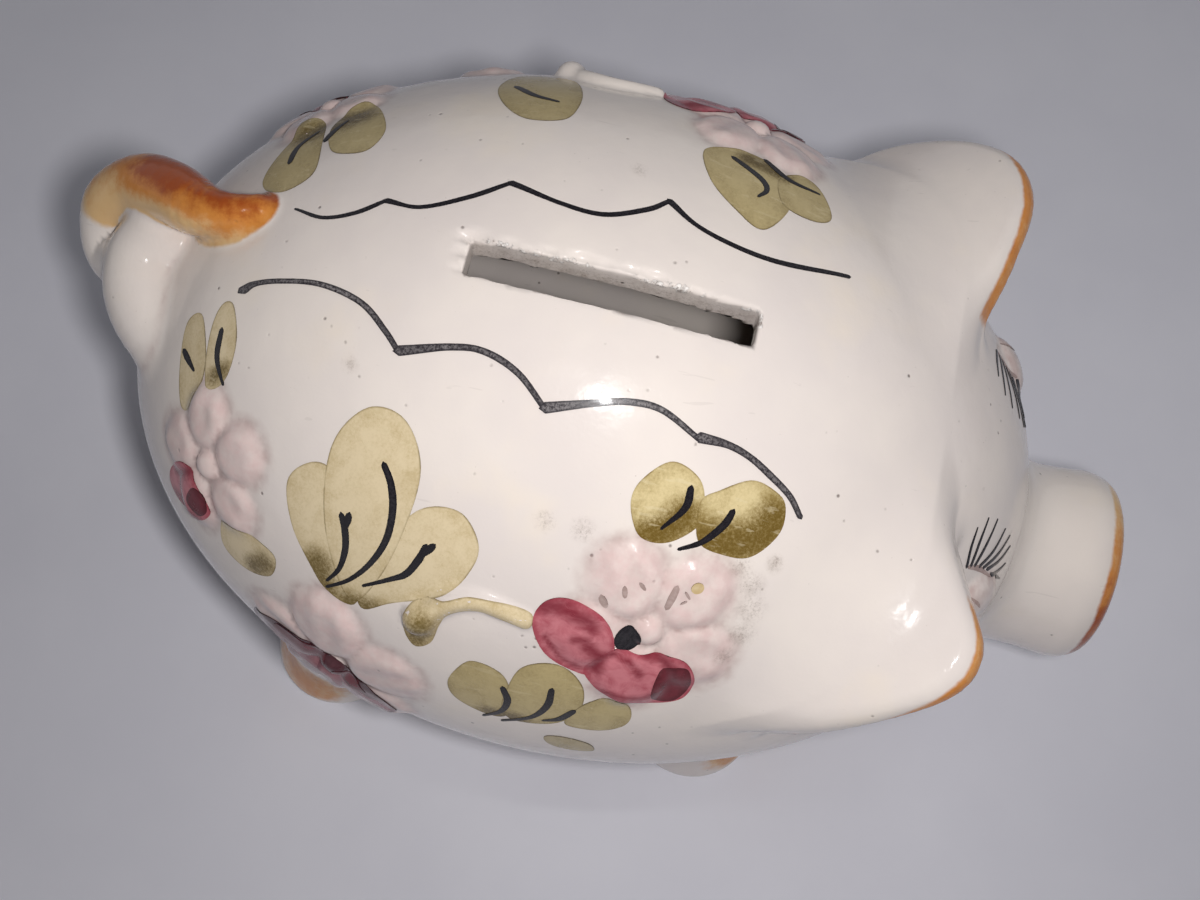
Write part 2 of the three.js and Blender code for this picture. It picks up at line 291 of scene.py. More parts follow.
# Each relief flower: y, degrees from the top, radius, and the heading of its first petal in degrees.
FLOWER_FORMS = {"front": (-12.7, 50.5, 12.5, 34), "rear": (25, 81, 14.5, 12), "rump": (46, 52, 10.5, 20)}
PETALS = {"count": 5, "reach": 0.58, "half_length": 0.44, "half_width": 0.42, "rise": 0.95, "ruffle": 0.16}


def flower_places():
    """The two flowers of each form, the left one mirroring the right one."""
    places = {}
    for name, side in SIDES:
        for spot, (y, angle, radius, heading) in FLOWER_FORMS.items():
            turn = math.radians(heading) if side < 0 else math.pi - math.radians(heading)
            places[f"flower_{spot}_{name}"] = (y, side * angle, radius, turn)
    return places


FLOWERS = flower_places()


def petal_lobes(points, y, angle, radius, turn):
    """The button of a relief flower and its petals, each as a distance, bent to lie on the round body."""
    origin, axes = on_egg(y, angle)
    local = (points - origin) @ axes.T
    sag = (local[:, 0] ** 2 + local[:, 1] ** 2) / 100
    bent = np.column_stack([local[:, :2], local[:, 2] + sag])
    petal_radii = np.array([radius * PETALS["half_length"], radius * PETALS["half_width"], 5])
    lobes = []
    for petal in range(PETALS["count"]):
        heading = turn + petal * math.tau / PETALS["count"]
        cos, sin = math.cos(heading), math.sin(heading)
        spin = np.array([[cos, sin, 0], [-sin, cos, 0], [0, 0, 1]])
        lobe = (bent - [cos * radius * PETALS["reach"], sin * radius * PETALS["reach"], 0]) @ spin.T
        flat = ellipsoid(lobe * [1, 1, 0], petal_radii)
        outer = np.clip(lobe[:, 0] / radius + 0.5, 0, 1)
        ruffle = PETALS["ruffle"] * np.sin(1.5 * lobe[:, 1] + petal) * outer
        lobes.append(rounded_slab(flat, np.abs(lobe[:, 2] + 1.6 - ruffle) - PETALS["rise"] - 1.6, 2.6))
    return ellipsoid(bent, np.array([1.9, 1.9, 1.3])), np.array(lobes)


def flower(points, form):
    shape, lobes = petal_lobes(points, *form)
    for lobe in lobes:
        shape = smooth_min(shape, lobe, 0.5)
    return shape


# A stem's course, as (y, degrees from the top), its radius at both ends, and the bead that ends it.
STEM = {"course": [(2, 53), (4.5, 52.4), (8, 52), (11.5, 54), (14.5, 58.5)], "radii": (1.0, 1.5),
        "bead": 2.2}
EYE_PLACE = (-57, 46)
EYE_RADII = np.array([3.0, 4.0, 1.6])


def stem(points, side):
    """A trailed cord of clay behind a front flower, ending in a bead."""
    course = np.array([on_egg(y, side * angle)[0] for y, angle in STEM["course"]])
    trail = cord_distance(points, catmull(course, 17), np.linspace(*STEM["radii"], 17))
    bead = np.linalg.norm(points - course[-1], axis=1) - STEM["bead"]
    return smooth_min(trail, bead, 1.0)


def eye(points, side):
    origin, axes = on_egg(EYE_PLACE[0], side * EYE_PLACE[1])
    return ellipsoid((points - origin) @ axes.T, EYE_RADII)


def clay_pieces():
    """Each luted piece: its distance, a ball that holds it, and how softly it joins the body."""
    pieces = {"snout": (snout, 7.0), "tail": (tail, 2.4)}
    for name, side in SIDES:
        pieces[f"ear_{name}"] = (partial(ear, side=side), partial(ear_blend, side=side))
        for end, foot in LEG_PLACES.items():
            pieces[f"leg_{end}_{name}"] = (partial(leg, side=side, foot=foot), 5.0)
        pieces[f"stem_{name}"] = (partial(stem, side=side), 0.9)
        pieces[f"eye_{name}"] = (partial(eye, side=side), 1.6)
    for name, form in FLOWERS.items():
        pieces[name] = (partial(flower, form=form), 0.7)
    held = {}
    for node, (distance, blend) in pieces.items():
        low, high = node_box(node)
        held[node] = (distance, (low + high) / 2, np.linalg.norm(high - low) / 2 + 12, blend)
    return held


PIECES = clay_pieces()


def held_by(points, centre, reach):
    """Which points lie in the ball that holds a piece."""
    return np.flatnonzero(np.sum((points - centre) ** 2, axis=1) < reach ** 2)


# Chips in the glaze round the slot: x, y along the pig from the slot's middle, and size.
SLOT_CHIPS = [(2.5, 17.6, 1.0), (2.5, 4.0, 0.9), (2.45, 1.8, 0.7), (2.5, -4.5, 0.8), (-2.5, 10.5, 0.5),
              (-2.5, -3.0, 0.45), (2.5, 8.5, 0.5), (2.6, -1.6, 0.55), (2.5, 13.2, 0.5), (0.4, 18.1, 0.7),
              (-1.9, 18.2, 0.5)]
SLOT_BOW = 0.5
SLOT_FLOOR = 60
PARED = 2.2  # how much thinner the wall is beside the slot
STOPPER_HOLE = {"radius": 15.0, "middle": 10.0, "half_height": 20.0, "seat": 15.8, "recess": 19.0,
                "rounding": 0.3}


def slot_edge(points):
    """Distance in plan to the coin slot's wavering outline, negative inside it."""
    y = points[:, 1] - SLOT["y"]
    x = points[:, 0] + SLOT_BOW * (1 - (2 * y / SLOT["length"]) ** 2)
    wave = 0.03 * np.sin(y * 0.9) + 0.03 * np.sin(y * 2.3 + x)
    return rounded_slab(np.abs(x) - SLOT["width"] / 2 + wave, np.abs(y) - SLOT["length"] / 2, 0.4)


def slot_cut(points):
    """The coin slot, right through the wall, with the chips round its edge."""
    cut = np.maximum(slot_edge(points), SLOT_FLOOR - points[:, 2])
    above = egg(points)
    for x, y, size in SLOT_CHIPS:
        along = (points[:, 1] - SLOT["y"] - y) / 2.2
        chip = np.sqrt((points[:, 0] - x) ** 2 + along ** 2 + (above - 0.25) ** 2) - size
        cut = smooth_min(cut, chip, 0.3)
    return cut


def hollow_space(points):
    """The inside of the pig, with the wall pared thinner round the coin slot."""
    away = (points[:, 0] / 12) ** 2 + ((points[:, 1] - SLOT["y"]) / 28) ** 2
    return egg(points, -WALL) - PARED * np.exp(-away) * (points[:, 2] > SLOT_FLOOR)


def belly_cut(points):
    """The hole for the stopper and the wider recess that its flange sits in."""
    radial = np.hypot(points[:, 0], points[:, 1] - EGG_CENTRE[1])
    height = points[:, 2]
    rounding = STOPPER_HOLE["rounding"]
    off_middle = np.abs(height - STOPPER_HOLE["middle"])
    hole = rounded_slab(radial - STOPPER_HOLE["radius"], off_middle - STOPPER_HOLE["half_height"], rounding)
    recess = rounded_slab(radial - STOPPER_HOLE["recess"], np.abs(height) - STOPPER_HOLE["seat"], rounding)
    return np.minimum(hole, recess)


def clay(points, with_labels=False, hollow=True):
    """The whole fired clay as one distance, and which piece of it is nearest."""
    whole = egg(points)
    label = np.zeros(len(points), int)
    nearest = whole.copy()
    for number, (distance, centre, reach, blend) in enumerate(PIECES.values(), 1):
        near = held_by(points, centre, reach)
        if not len(near):
            continue
        own = distance(points[near])
        if with_labels:
            closer = own < nearest[near]
            label[near[closer]] = number
            nearest[near[closer]] = own[closer]
        softness = blend(points[near]) if callable(blend) else blend
        whole[near] = smooth_min(whole[near], own, softness)
    if hollow:
        whole = smooth_max(whole, -slot_cut(points), 0.5)
        whole = np.maximum(whole, -hollow_space(points))
        whole = np.maximum(whole, -belly_cut(points))
    return (whole, label) if with_labels else whole


def slope_of(distance, points, step=0.15):
    """Outward unit normals of a distance field."""
    slope = np.empty_like(points)
    for axis in range(3):
        nudge = np.zeros(3)
        nudge[axis] = step
        slope[:, axis] = distance(points + nudge) - distance(points - nudge)
    return slope / (np.linalg.norm(slope, axis=1)[:, None] + 1e-12)


# ---------- turning a distance into a quad mesh ----------
BLOCK = 8  # cells along each side of the blocks that are searched for the surface
UNKNOWN = 1e3
BATCH = 200000


def sampled_field(distance, low, high, cell, wanted):
    """The distance at the grid points of every block that the wanted surface may cross."""
    size = np.ceil((high - low) / (cell * BLOCK)).astype(int) * BLOCK
    field = np.full(size + 1, UNKNOWN, np.float32)
    starts = [np.arange(0, n, BLOCK) for n in size]
    corners = np.stack(np.meshgrid(*starts, indexing="ij"), -1).reshape(-1, 3)
    centres = low + (corners + BLOCK / 2) * cell
    half_diagonal = BLOCK * cell * 0.87
    close = (np.abs(distance(centres)) < 1.5 * half_diagonal) & (wanted(centres) > -BLOCK * cell)
    steps = np.arange(BLOCK + 1)
    local = np.stack(np.meshgrid(steps, steps, steps, indexing="ij"), -1).reshape(-1, 3)
    grid_points = (corners[close][:, None, :] + local[None]).reshape(-1, 3)
    flat = np.unique(np.ravel_multi_index(grid_points.T, field.shape))
    index = np.stack(np.unravel_index(flat, field.shape), -1)
    batches = np.array_split(index, len(index) // BATCH + 1)
    field.reshape(-1)[flat] = np.concatenate([distance(low + batch * cell) for batch in batches])
    return field


def crossed_cells(field):
    """The cells that the surface crosses, and the mean of its crossings of each cell's edges."""
    shape = np.array(field.shape) - 1
    corners = [field[tuple(slice(first, first + n) for first, n in zip(corner, shape))]
               for corner in np.ndindex(2, 2, 2)]
    count = sum((corner < 0).astype(np.int8) for corner in corners)
    known = np.logical_and.reduce([corner < UNKNOWN - 1 for corner in corners])
    cells = np.stack(np.nonzero((count > 0) & (count < 8) & known), -1)
    total = np.zeros((len(cells), 3))
    hits = np.zeros(len(cells))
    for start in np.ndindex(2, 2, 2):
        for axis in range(3):
            if start[axis]:
                continue
            a = cells + start
            b = a.copy()
            b[:, axis] += 1
            at_a, at_b = field[tuple(a.T)], field[tuple(b.T)]
            over = (at_a < 0) != (at_b < 0)
            spot = a[over].astype(float)
            spot[:, axis] += at_a[over] / (at_a[over] - at_b[over])
            total[over] += spot
            hits[over] += 1
    return cells, total / hits[:, None]


def joined_quads(field, cells):
    """One quad across each grid edge that the surface crosses, joining the four cells round it."""
    solid = field < 0
    shape = np.array(field.shape) - 1
    number = np.full(shape, -1, np.int32)
    number[tuple(cells.T)] = np.arange(len(cells))
    quads = []
    for axis in range(3):
        u, v = (axis + 1) % 3, (axis + 2) % 3
        lower = [slice(1, n) for n in shape]
        upper = list(lower)
        lower[axis], upper[axis] = slice(0, shape[axis]), slice(1, shape[axis] + 1)
        spots = np.stack(np.nonzero(solid[tuple(lower)] != solid[tuple(upper)]), -1)
        spots += [0 if k == axis else 1 for k in range(3)]
        ring = []
        for du, dv in ((1, 1), (0, 1), (0, 0), (1, 0)):
            corner = spots.copy()
            corner[:, u] -= du
            corner[:, v] -= dv
            ring.append(number[tuple(corner.T)])
        ring = np.stack(ring, -1)
        outward = ~solid[tuple(spots.T)]
        ring[outward] = ring[outward][:, ::-1]
        quads.append(ring[(ring >= 0).all(axis=1)])
    return np.concatenate(quads)


def skin(distance, low, high, cell, wanted):
    """Surface nets: one vertex in each crossed cell, drawn onto the surface, and quads between them."""
    field = sampled_field(distance, low, high, cell, wanted)
    cells, spots = crossed_cells(field)
    vertices = low + spots * cell
    quads = joined_quads(field, cells)
    for _ in range(2):
        normal = slope_of(distance, vertices, 0.1)
        vertices -= normal * np.clip(distance(vertices), -0.3 * cell, 0.3 * cell)[:, None]
    return vertices, quads[wanted(vertices[quads].mean(axis=1)) > 0]


def piece_from(name, vertices, faces, normals=None, attributes=None):
    """A mesh object from millimetre points, with its own shading normals and per-point numbers."""
    used, faces_flat = np.unique(faces, return_inverse=True)
    faces = faces_flat.reshape(np.shape(faces))
    mesh = bpy.data.meshes.new(name)
    mesh.vertices.add(len(used))
    mesh.vertices.foreach_set("co", (vertices[used] * MM).ravel())
    corners = faces.shape[1]
    mesh.loops.add(faces.size)
    mesh.loops.foreach_set("vertex_index", faces.ravel())
    mesh.polygons.add(len(faces))
    mesh.polygons.foreach_set("loop_start", np.arange(len(faces)) * corners)
    mesh.polygons.foreach_set("loop_total", np.full(len(faces), corners))
    mesh.update()
    mesh.validate()
    mesh.polygons.foreach_set("use_smooth", np.ones(len(faces), bool))
    for key, values in (attributes or {}).items():
        layer = mesh.attributes.new(key, "FLOAT", "POINT")
        layer.data.foreach_set("value", values[used].astype(np.float32))
    if normals is not None:
        mesh.normals_split_custom_set_from_vertices(normals[used].tolist())
    thing = bpy.data.objects.new(name, mesh)
    bpy.context.scene.collection.objects.link(thing)
    return thing


# ---------- colour brushed or fired into the clay's glaze, and painted shade in creases and down the slot's wall, as numbers at each point of the mesh ---
# The brushed rim of each ear: its course along the flap, its widths there, and how near the head it stops.
RIM_COURSE = {1: (-10, -5, 3, 12, 18), -1: (-19, -6, 3, 12, 18)}
RIM_WIDTHS = (-0.4, 0.5, 1.3, 1.3, 0.5)
RIM_STOP = {1: 4.0, -1: 11.5}
TOES = {"front": np.array([2.5, -10.5, 7]), "rear": np.array([9.0, 4.5, 7])}
TAIL_OVERHEAD = np.array([0.90, 0.22, 0.33])
TAIL_BRUSHED_FROM = 0.34


def ear_ochre(points, side):
    """Millimetres inside the brushed rim of an ear: on the edge and under it, fading out past its tip."""
    local = ear_place(points, side)
    rim = -outline_distance(local[:, :2], EAR_OUTLINES[side])
    width = np.interp(local[:, 0], RIM_COURSE[side], RIM_WIDTHS)
    upper_face = 0.8 * np.maximum(local[:, 2] - 0.4 * side, 0)
    stop = np.where(local[:, 0] > 0, 0.5 * (local[:, 1] - RIM_STOP[side]), width)
    off_flap = np.maximum(np.abs(ear(points, side)) - 0.8, 0)
    return np.minimum(width - rim - upper_face, stop) - 3 * off_flap


def snout_ochre(points):
    radial = np.hypot(points[:, 0] - SNOUT["aside"], points[:, 2] - SNOUT["height"])
    return 2.3 - np.hypot(radial - SNOUT["rim"] + 1.6, points[:, 1] - SNOUT["front"] - 1.2)


def toe_ochre(points, side, end):
    toe = points * [side, 1, 1] - LEG_PLACES[end] - SHIFT - TOES[end]
    return 0.3 * (6 - np.linalg.norm(toe * [0.65, 0.65, 1.1], axis=1))


def along_cord(points, path):
    """How far along a path each point lies, from 0 to 1, and how far out of the path's middle."""
    gaps = np.linalg.norm(points[:, None] - path[None], axis=2)
    weights = np.exp(-((gaps - gaps.min(axis=1)[:, None]) / 0.5) ** 2)
    weights /= weights.sum(axis=1)[:, None]
    return weights @ np.linspace(0, 1, len(path)), points - weights @ path


def tail_ochre(points):
    """The brushed end of the tail, palest where it starts and burnt on top, and how burnt it is."""
    share, outward = along_cord(points, TAIL_LOOP[0])
    overhead = outward @ TAIL_OVERHEAD
    stroke = np.minimum((share - TAIL_BRUSHED_FROM) * 16, cord_distance(points, *TAIL_ROOT) - 0.3)
    stroke = np.minimum(stroke, 1.6) - 1.3 * np.maximum(tail_loop(points) - 0.1, 0)
    middle = 1.15 * np.exp(-((share - 0.66) / 0.17) ** 2) * np.clip(0.5 + overhead / 4, 0, 1)
    tip = 0.85 * np.clip((share - 0.74) / 0.15, 0, 1) * np.clip(0.9 + overhead / 5, 0, 1)
    return stroke, middle + tip


def ochre_marks(points):
    """How deep inside the ochre brushwork each point lies, in millimetres, and how burnt that ochre is."""
    depth = snout_ochre(points)
    burnt = np.clip(0.3 - points[:, 0] / 22, 0, 1)

    def lay_on(near, stroke, tone):
        burnt[near] = np.where(stroke > depth[near], tone, burnt[near])
        depth[near] = np.maximum(depth[near], stroke)

    for side in (-1, 1):
        near = np.flatnonzero(side * points[:, 0] > 2)
        behind = np.clip((points[near, 1] - SHIFT[1] + 52) / 10, 0, 1)
        lay_on(near, ear_ochre(points[near], side), 0.45 + 0.45 * behind)
        for end in LEG_PLACES:
            patch = toe_ochre(points[near], side, end)
            lay_on(near, patch, 0.3 + 0.1 * patch)
    near = np.flatnonzero(tail_loop(points) < 2.5)
    lay_on(near, *tail_ochre(points[near]))
    return depth, burnt


def share_within(gap, reach):
    """1 where the gap is 0, falling to 0 where it is `reach` or more."""
    return np.clip(1 - gap / reach, 0, 1)


def petal_marks(points):
    """Pink blush on the relief petals, and painted mauve shade in the creases between them, round their
    edges, round the eyes and in the grooves at the tail's root.
    """
    blush = np.zeros(len(points))
    crease = np.zeros(len(points))
    for name, (_, centre, reach, _) in PIECES.items():
        near = held_by(points, centre, reach)
        if name in FLOWERS:
            button, lobes = petal_lobes(points[near], *FLOWERS[name])
            nearest, second = np.sort(np.vstack([lobes, button[None]]), axis=0)[:2]
            blush[near] = np.maximum(blush[near], share_within(nearest, 0.7))
            # Painted shade: darker in the creases between petals and in a ring just outside their edges.
            between = share_within(second - nearest, 0.9) * np.clip(1.2 - nearest, 0, 1)
            around = 0.7 * share_within(np.abs(nearest - 0.6), 1.2)
            crease[near] = np.maximum(crease[near], np.maximum(between, around))
        elif name.startswith("eye"):
            # Painted shade in the groove round each eye.
            rim = np.abs(eye(points[near], 1 if name.endswith("left") else -1) - 0.3)
            crease[near] = np.maximum(crease[near], 0.9 * share_within(rim, 0.8))
        elif name == "tail":
            # Painted shade in the grooves where the tail's root meets the body and the loop.
            root = cord_distance(points[near], *TAIL_ROOT)
            groove = np.minimum(np.abs(root - egg(points[near])), np.maximum(root, tail_loop(points[near])))
            crease[near] = np.maximum(crease[near], 0.5 * share_within(groove, 0.9))
    return blush, crease


# Grey speckled smudges: where they lie (y, degrees from the top) and how far they reach.
SMUDGES = [((-21.5, -37.5), 1.5), ((-23.4, -40.5), 1.8), ((-24.4, -44.5), 2.0), ((-24.2, -49), 1.9),
           ((-22.6, -53.2), 1.5), ((-19, -57), 1.3), ((-25.6, -36.3), 1.2), ((2.7, -36.9), 1.3),
           ((-1.9, -36.9), 1.5), ((29.9, -22.2), 0.9), ((2, 23.2), 1.0)]


def wear_smudges_and_wall_shade(points):
    """Glaze worn off round the coin slot, most on its left side, grey smudges, and painted shade that grows
    darker down the slot's wall.
    """
    edge = np.abs(slot_edge(points))
    side_share = np.where(points[:, 0] > 0, 1.0, 0.45)
    worn = np.clip(1.25 - edge / 1.3, 0, 1) * side_share * (egg(points) > -1.2)
    # Painted shade: greyer the deeper a point lies down the slot's wall.
    wall_shade_and_smudge = np.clip(-egg(points) / 2.2 - 0.2, 0, 0.8) * (edge < 0.8)
    for spot, reach in SMUDGES:
        gap = np.linalg.norm(points - on_egg(*spot)[0], axis=1)
        wall_shade_and_smudge = np.maximum(wall_shade_and_smudge, np.clip(1.2 - gap / reach, 0, 1))
    return worn, wall_shade_and_smudge


# ---------- node material helpers ----------
class Nodes:
    """Small wrapper that adds linked nodes to one material."""

    def __init__(self, name):
        self.material = bpy.data.materials.new(name)
        self.material.use_nodes = True
        self.tree = self.material.node_tree
        self.shader = self.tree.nodes["Principled BSDF"]

    def put(self, socket, value):
        """Links a socket to another one, or gives it a constant."""
        if isinstance(value, bpy.types.NodeSocket):
            self.tree.links.new(value, socket)
        else:
            socket.default_value = value

    def add(self, kind, *values, settings=None, **named):
        """Adds a node, given values for its first sockets in order and for others by name."""
        node = self.tree.nodes.new(kind)
        for key, value in (settings or {}).items():
            setattr(node, key, value)
        for socket, value in zip(node.inputs, values):
            self.put(socket, value)
        for name, value in named.items():
            self.put(node.inputs[name], value)
        return node

    def place(self, scale=1.0, stretch=(1, 1, 1)):
        """Object coordinates in millimetres, times a scale."""
        spot = self.add("ShaderNodeTexCoord").outputs["Object"]
        factors = tuple(scale * s / MM for s in stretch)
        scaled = self.add("ShaderNodeVectorMath", spot, factors, settings={"operation": "MULTIPLY"})
        return scaled.outputs[0]

    def noise(self, scale, detail=3.0, roughness=0.55, stretch=(1, 1, 1), distortion=0.0):
        return self.add("ShaderNodeTexNoise", Vector=self.place(scale, stretch), Scale=1.0, Detail=detail,
                        Roughness=roughness, Distortion=distortion).outputs["Fac"]

    def scatter(self, scale):
        """Distance to the nearest of some scattered points."""
        cells = self.add("ShaderNodeTexVoronoi", settings={"feature": "F1"}, Vector=self.place(scale),
                         Scale=1.0, Randomness=1.0)
        return cells.outputs["Distance"]

    def math(self, operation, a, b):
        return self.add("ShaderNodeMath", a, b, settings={"operation": operation}).outputs[0]

    def plus(self, a, b):
        return self.math("ADD", a, b)

    def times(self, a, b):
        return self.math("MULTIPLY", a, b)

    def swing(self, value, size):
        """A noise value moved to swing about zero, `size` from end to end."""
        return self.times(self.math("SUBTRACT", value, 0.5), size)

    def remap(self, value, low, high, to_low=0.0, to_high=1.0):
        return self.add("ShaderNodeMapRange", value, low, high, to_low, to_high,
                        settings={"interpolation_type": "SMOOTHSTEP"}).outputs[0]

    def mix(self, share, a, b):
        node = self.add("ShaderNodeMix", settings={"data_type": "RGBA"})
        for index, value in ((0, share), (6, a), (7, b)):
            self.put(node.inputs[index], value)
        return node.outputs[2]

    def number(self, name):
        return self.add("ShaderNodeAttribute", settings={"attribute_name": name}).outputs["Fac"]

    def bump(self, height, distance, normal=None):
        node = self.add("ShaderNodeBump", Height=height, Distance=distance * MM, Strength=1.0)
        if normal is not None:
            self.put(node.inputs["Normal"], normal)
        return node.outputs[0]

    def finish(self, **sockets):
        for key, value in sockets.items():
            self.put(self.shader.inputs[key.replace("_", " ")], value)
        return self.material


def srgb(red, green, blue):
    """A colour given as it looks on a screen, 0 to 255, as the linear colour that shaders take."""
    linear = [((c / 255 + 0.055) / 1.055) ** 2.4 if c > 10 else c / 255 / 12.92 for c in (red, green, blue)]
    return (*linear, 1.0)


CREAM = srgb(233, 223, 215)
CREAM_COOL = srgb(224, 214, 209)
CREAM_WARM = srgb(236, 223, 207)
OCHRE = srgb(222, 184, 132)
AMBER = srgb(206, 134, 62)
BURNT = srgb(158, 74, 28)
BLUSH = srgb(228, 202, 198)
# Painted shade for the creases round the petals, the eyes and the tail's root.
CREASE_SHADE_MAUVE = srgb(168, 136, 132)
SPECK = srgb(92, 78, 70)
PALE_SPECK = srgb(140, 122, 110)
SCRATCH = srgb(150, 140, 132)
# Grey for the smudges and for the painted shade down the slot's wall.
SHADE_AND_SMUDGE_GREY = srgb(136, 118, 106)
BARE_CLAY = srgb(246, 242, 238)
BROWN_DIRT = srgb(120, 100, 88)


def specked_cream(n):
    """Cream with faint clouding, dark specks and hair scratches, and the depth of its pinholes."""
    colour = n.mix(n.remap(n.noise(0.03, 4), 0.35, 0.65), CREAM_COOL, CREAM)
    colour = n.mix(n.remap(n.noise(0.07, 3), 0.55, 0.8, 0, 0.6), colour, CREAM_WARM)
    gap = n.scatter(0.36)
    rare = n.remap(n.noise(0.21, 3, 0.7), 0.50, 0.62)
    speck = n.times(n.remap(gap, 0.03, 0.11, 1, 0), rare)
    colour = n.mix(n.times(speck, 0.75), colour, SPECK)
    fleck = n.times(n.remap(n.scatter(0.9), 0.02, 0.10, 1, 0), n.remap(n.noise(0.13, 3), 0.56, 0.68))
    colour = n.mix(n.times(fleck, 0.4), colour, PALE_SPECK)
    scratch = n.remap(n.noise(0.9, 2, 0.5, (1, 0.08, 1), 0.4), 0.72, 0.75)
    colour = n.mix(n.times(scratch, 0.12), colour, SCRATCH)
    return colour, n.times(n.remap(gap, 0.0, 0.13, 1, 0), rare)


def tinted(n, colour, brush):
    """Pink blush on the petals, painted mauve shade in their creases, and speckled grey for the smudges and
    for painted shade down the slot's wall.
    """
    colour = n.mix(n.times(n.number("blush"), n.remap(brush, 0.3, 0.7, 0.35, 0.95)), colour, BLUSH)
    # Painted shade: mauve laid where the creases are, patchy in strength.
    crease_shade_strength = n.remap(n.noise(0.5, 3, 0.5), 0.3, 0.7, 0.25, 0.8)
    colour = n.mix(n.times(n.number("crease"), crease_shade_strength), colour, CREASE_SHADE_MAUVE)
    # Painted shade down the slot's wall, and the grey smudges, both speckled.
    grit = n.plus(n.remap(n.noise(2.8, 5, 0.85), 0.46, 0.66, 0, 0.7), n.remap(brush, 0.4, 0.7, 0.05, 0.5))
    return n.mix(n.times(n.times(n.number("wall_shade_and_smudge"), grit), 0.8), colour, SHADE_AND_SMUDGE_GREY)


def worn_away(n, colour):
    """Flaked glaze and brown dirt round the coin slot, and how flaked each point is."""
    patches = n.times(n.number("worn"), n.times(n.noise(0.16, 3, 0.6), 1.5))
    flake = n.remap(n.times(patches, n.noise(1.1, 5, 0.7)), 0.36, 0.44)
    colour = n.mix(n.times(flake, 0.7), colour, BARE_CLAY)
    dirt = n.times(patches, n.noise(1.9, 4, 0.75, (0.6, 1, 1)))
    return n.mix(n.remap(dirt, 0.40, 0.52, 0, 0.75), colour, BROWN_DIRT), flake


def ochre_brushed(n, colour):
    """Ochre brushwork with a soft uneven edge, from pale through amber to burnt."""
    depth = n.plus(n.number("ochre"), n.swing(n.noise(0.5, 4), 0.8))
    tone = n.plus(n.number("burnt"), n.swing(n.noise(0.3, 5, 0.7), 1.1))
    brushed = n.mix(n.remap(tone, 0.0, 0.55), OCHRE, AMBER)
    brushed = n.mix(n.remap(tone, 0.5, 1.0), brushed, BURNT)
    return n.mix(n.remap(depth, -0.3, 0.45), colour, brushed)


def glaze(name="cream_glaze", painted=True):
    """Softly uneven cream glaze, and on the pig's outside the colour brushed and fired into it, with
    painted shade in its creases and down the slot's wall.
    """
    n = Nodes(name)
    colour, pits = specked_cream(n)
    rough = n.remap(n.noise(0.12, 4), 0.3, 0.7, 0.13, 0.24)
    height = n.noise(0.22, 3, 0.5)
    if painted:
        colour = tinted(n, colour, n.noise(0.45, 5, 0.65))
        colour, flake = worn_away(n, colour)
        rough = n.plus(rough, n.times(flake, 0.3))
        height = n.plus(height, n.times(flake, 0.7))
        colour = ochre_brushed(n, colour)
    waves = n.bump(height, 0.10)
    grain = n.bump(n.noise(2.2, 2, 0.5), 0.010, waves)
    return n.finish(Base_Color=colour, Roughness=rough, Normal=n.bump(pits, -0.12, grain),
                    Specular_IOR_Level=0.5, IOR=1.5, Coat_Weight=0.35, Coat_Roughness=0.05)


def rubber():
    """Dull black rubber, a little dusty."""
    n = Nodes("black_rubber")
    colour = n.mix(n.remap(n.noise(0.4, 4), 0.35, 0.7), srgb(30, 30, 32), srgb(48, 47, 47))
    colour = n.mix(n.remap(n.noise(1.4, 4, 0.7), 0.58, 0.75, 0, 0.35), colour, srgb(96, 92, 88))
    return n.finish(Base_Color=colour, Roughness=n.remap(n.noise(0.8, 3), 0.3, 0.7, 0.55, 0.8),
                    Normal=n.bump(n.noise(3.0, 3), 0.05))


# ---------- the clay pieces as meshes ----------
CLAY_NAMES = ["body_shell", *PIECES]
SLOTS = {part["node"]: part["material_slot"] for part in frame["record"]["subparts"]}
GLAZE = glaze()
BARE = glaze("inside_glaze", painted=False)
LOW, HIGH = np.array([list(corner) for corner in CAD_BOX]) / MM + [[-1.5], [1.5]]


def outer_zone(points):
    """Positive where the clay is meshed finely: outside the hollow, and on its ceiling by the slot."""
    by_slot = (slot_edge(points) < 1.5) & (points[:, 2] > SLOT_FLOOR)
    return hollow_space(points) - np.where(by_slot, -1.5, 0.6)


def dress(piece, material, slot, *nodes, body="pig"):
    """Gives a piece its material and the body it rides on, and hides the CAD nodes it stands for."""
    piece.data.materials.append(material)
    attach(piece, body)
    if nodes:
        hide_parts(*nodes)
    return piece


def clay_meshes():
    """One piece for each luted part, cut from one fine mesh, and the inside of the hollow."""
    vertices, quads = skin(clay, LOW, HIGH, FINE_CELL, outer_zone)
    normals = slope_of(clay, vertices, 0.25)
    # The fourth number is painted shade in the creases; the last is painted shade down the slot's wall
    # together with grey smudges.
    marks = dict(zip(("ochre", "burnt", "blush", "crease", "worn", "wall_shade_and_smudge"),
                     (*ochre_marks(vertices), *petal_marks(vertices), *wear_smudges_and_wall_shade(vertices))))
    _, label = clay(vertices[quads].mean(axis=1), with_labels=True)
    for number, node in enumerate(CLAY_NAMES):
        own = quads[label == number]
        piece = piece_from(f"clay_{node}", vertices, own, normals, marks)
        dress(piece, GLAZE, SLOTS[node], node)
    vertices, quads = skin(clay, LOW, HIGH, INSIDE_CELL, lambda points: -outer_zone(points))
    normals = slope_of(clay, vertices, 0.25)
    dress(piece_from("clay_inside", vertices, quads, normals), BARE, SLOTS["body_shell"])


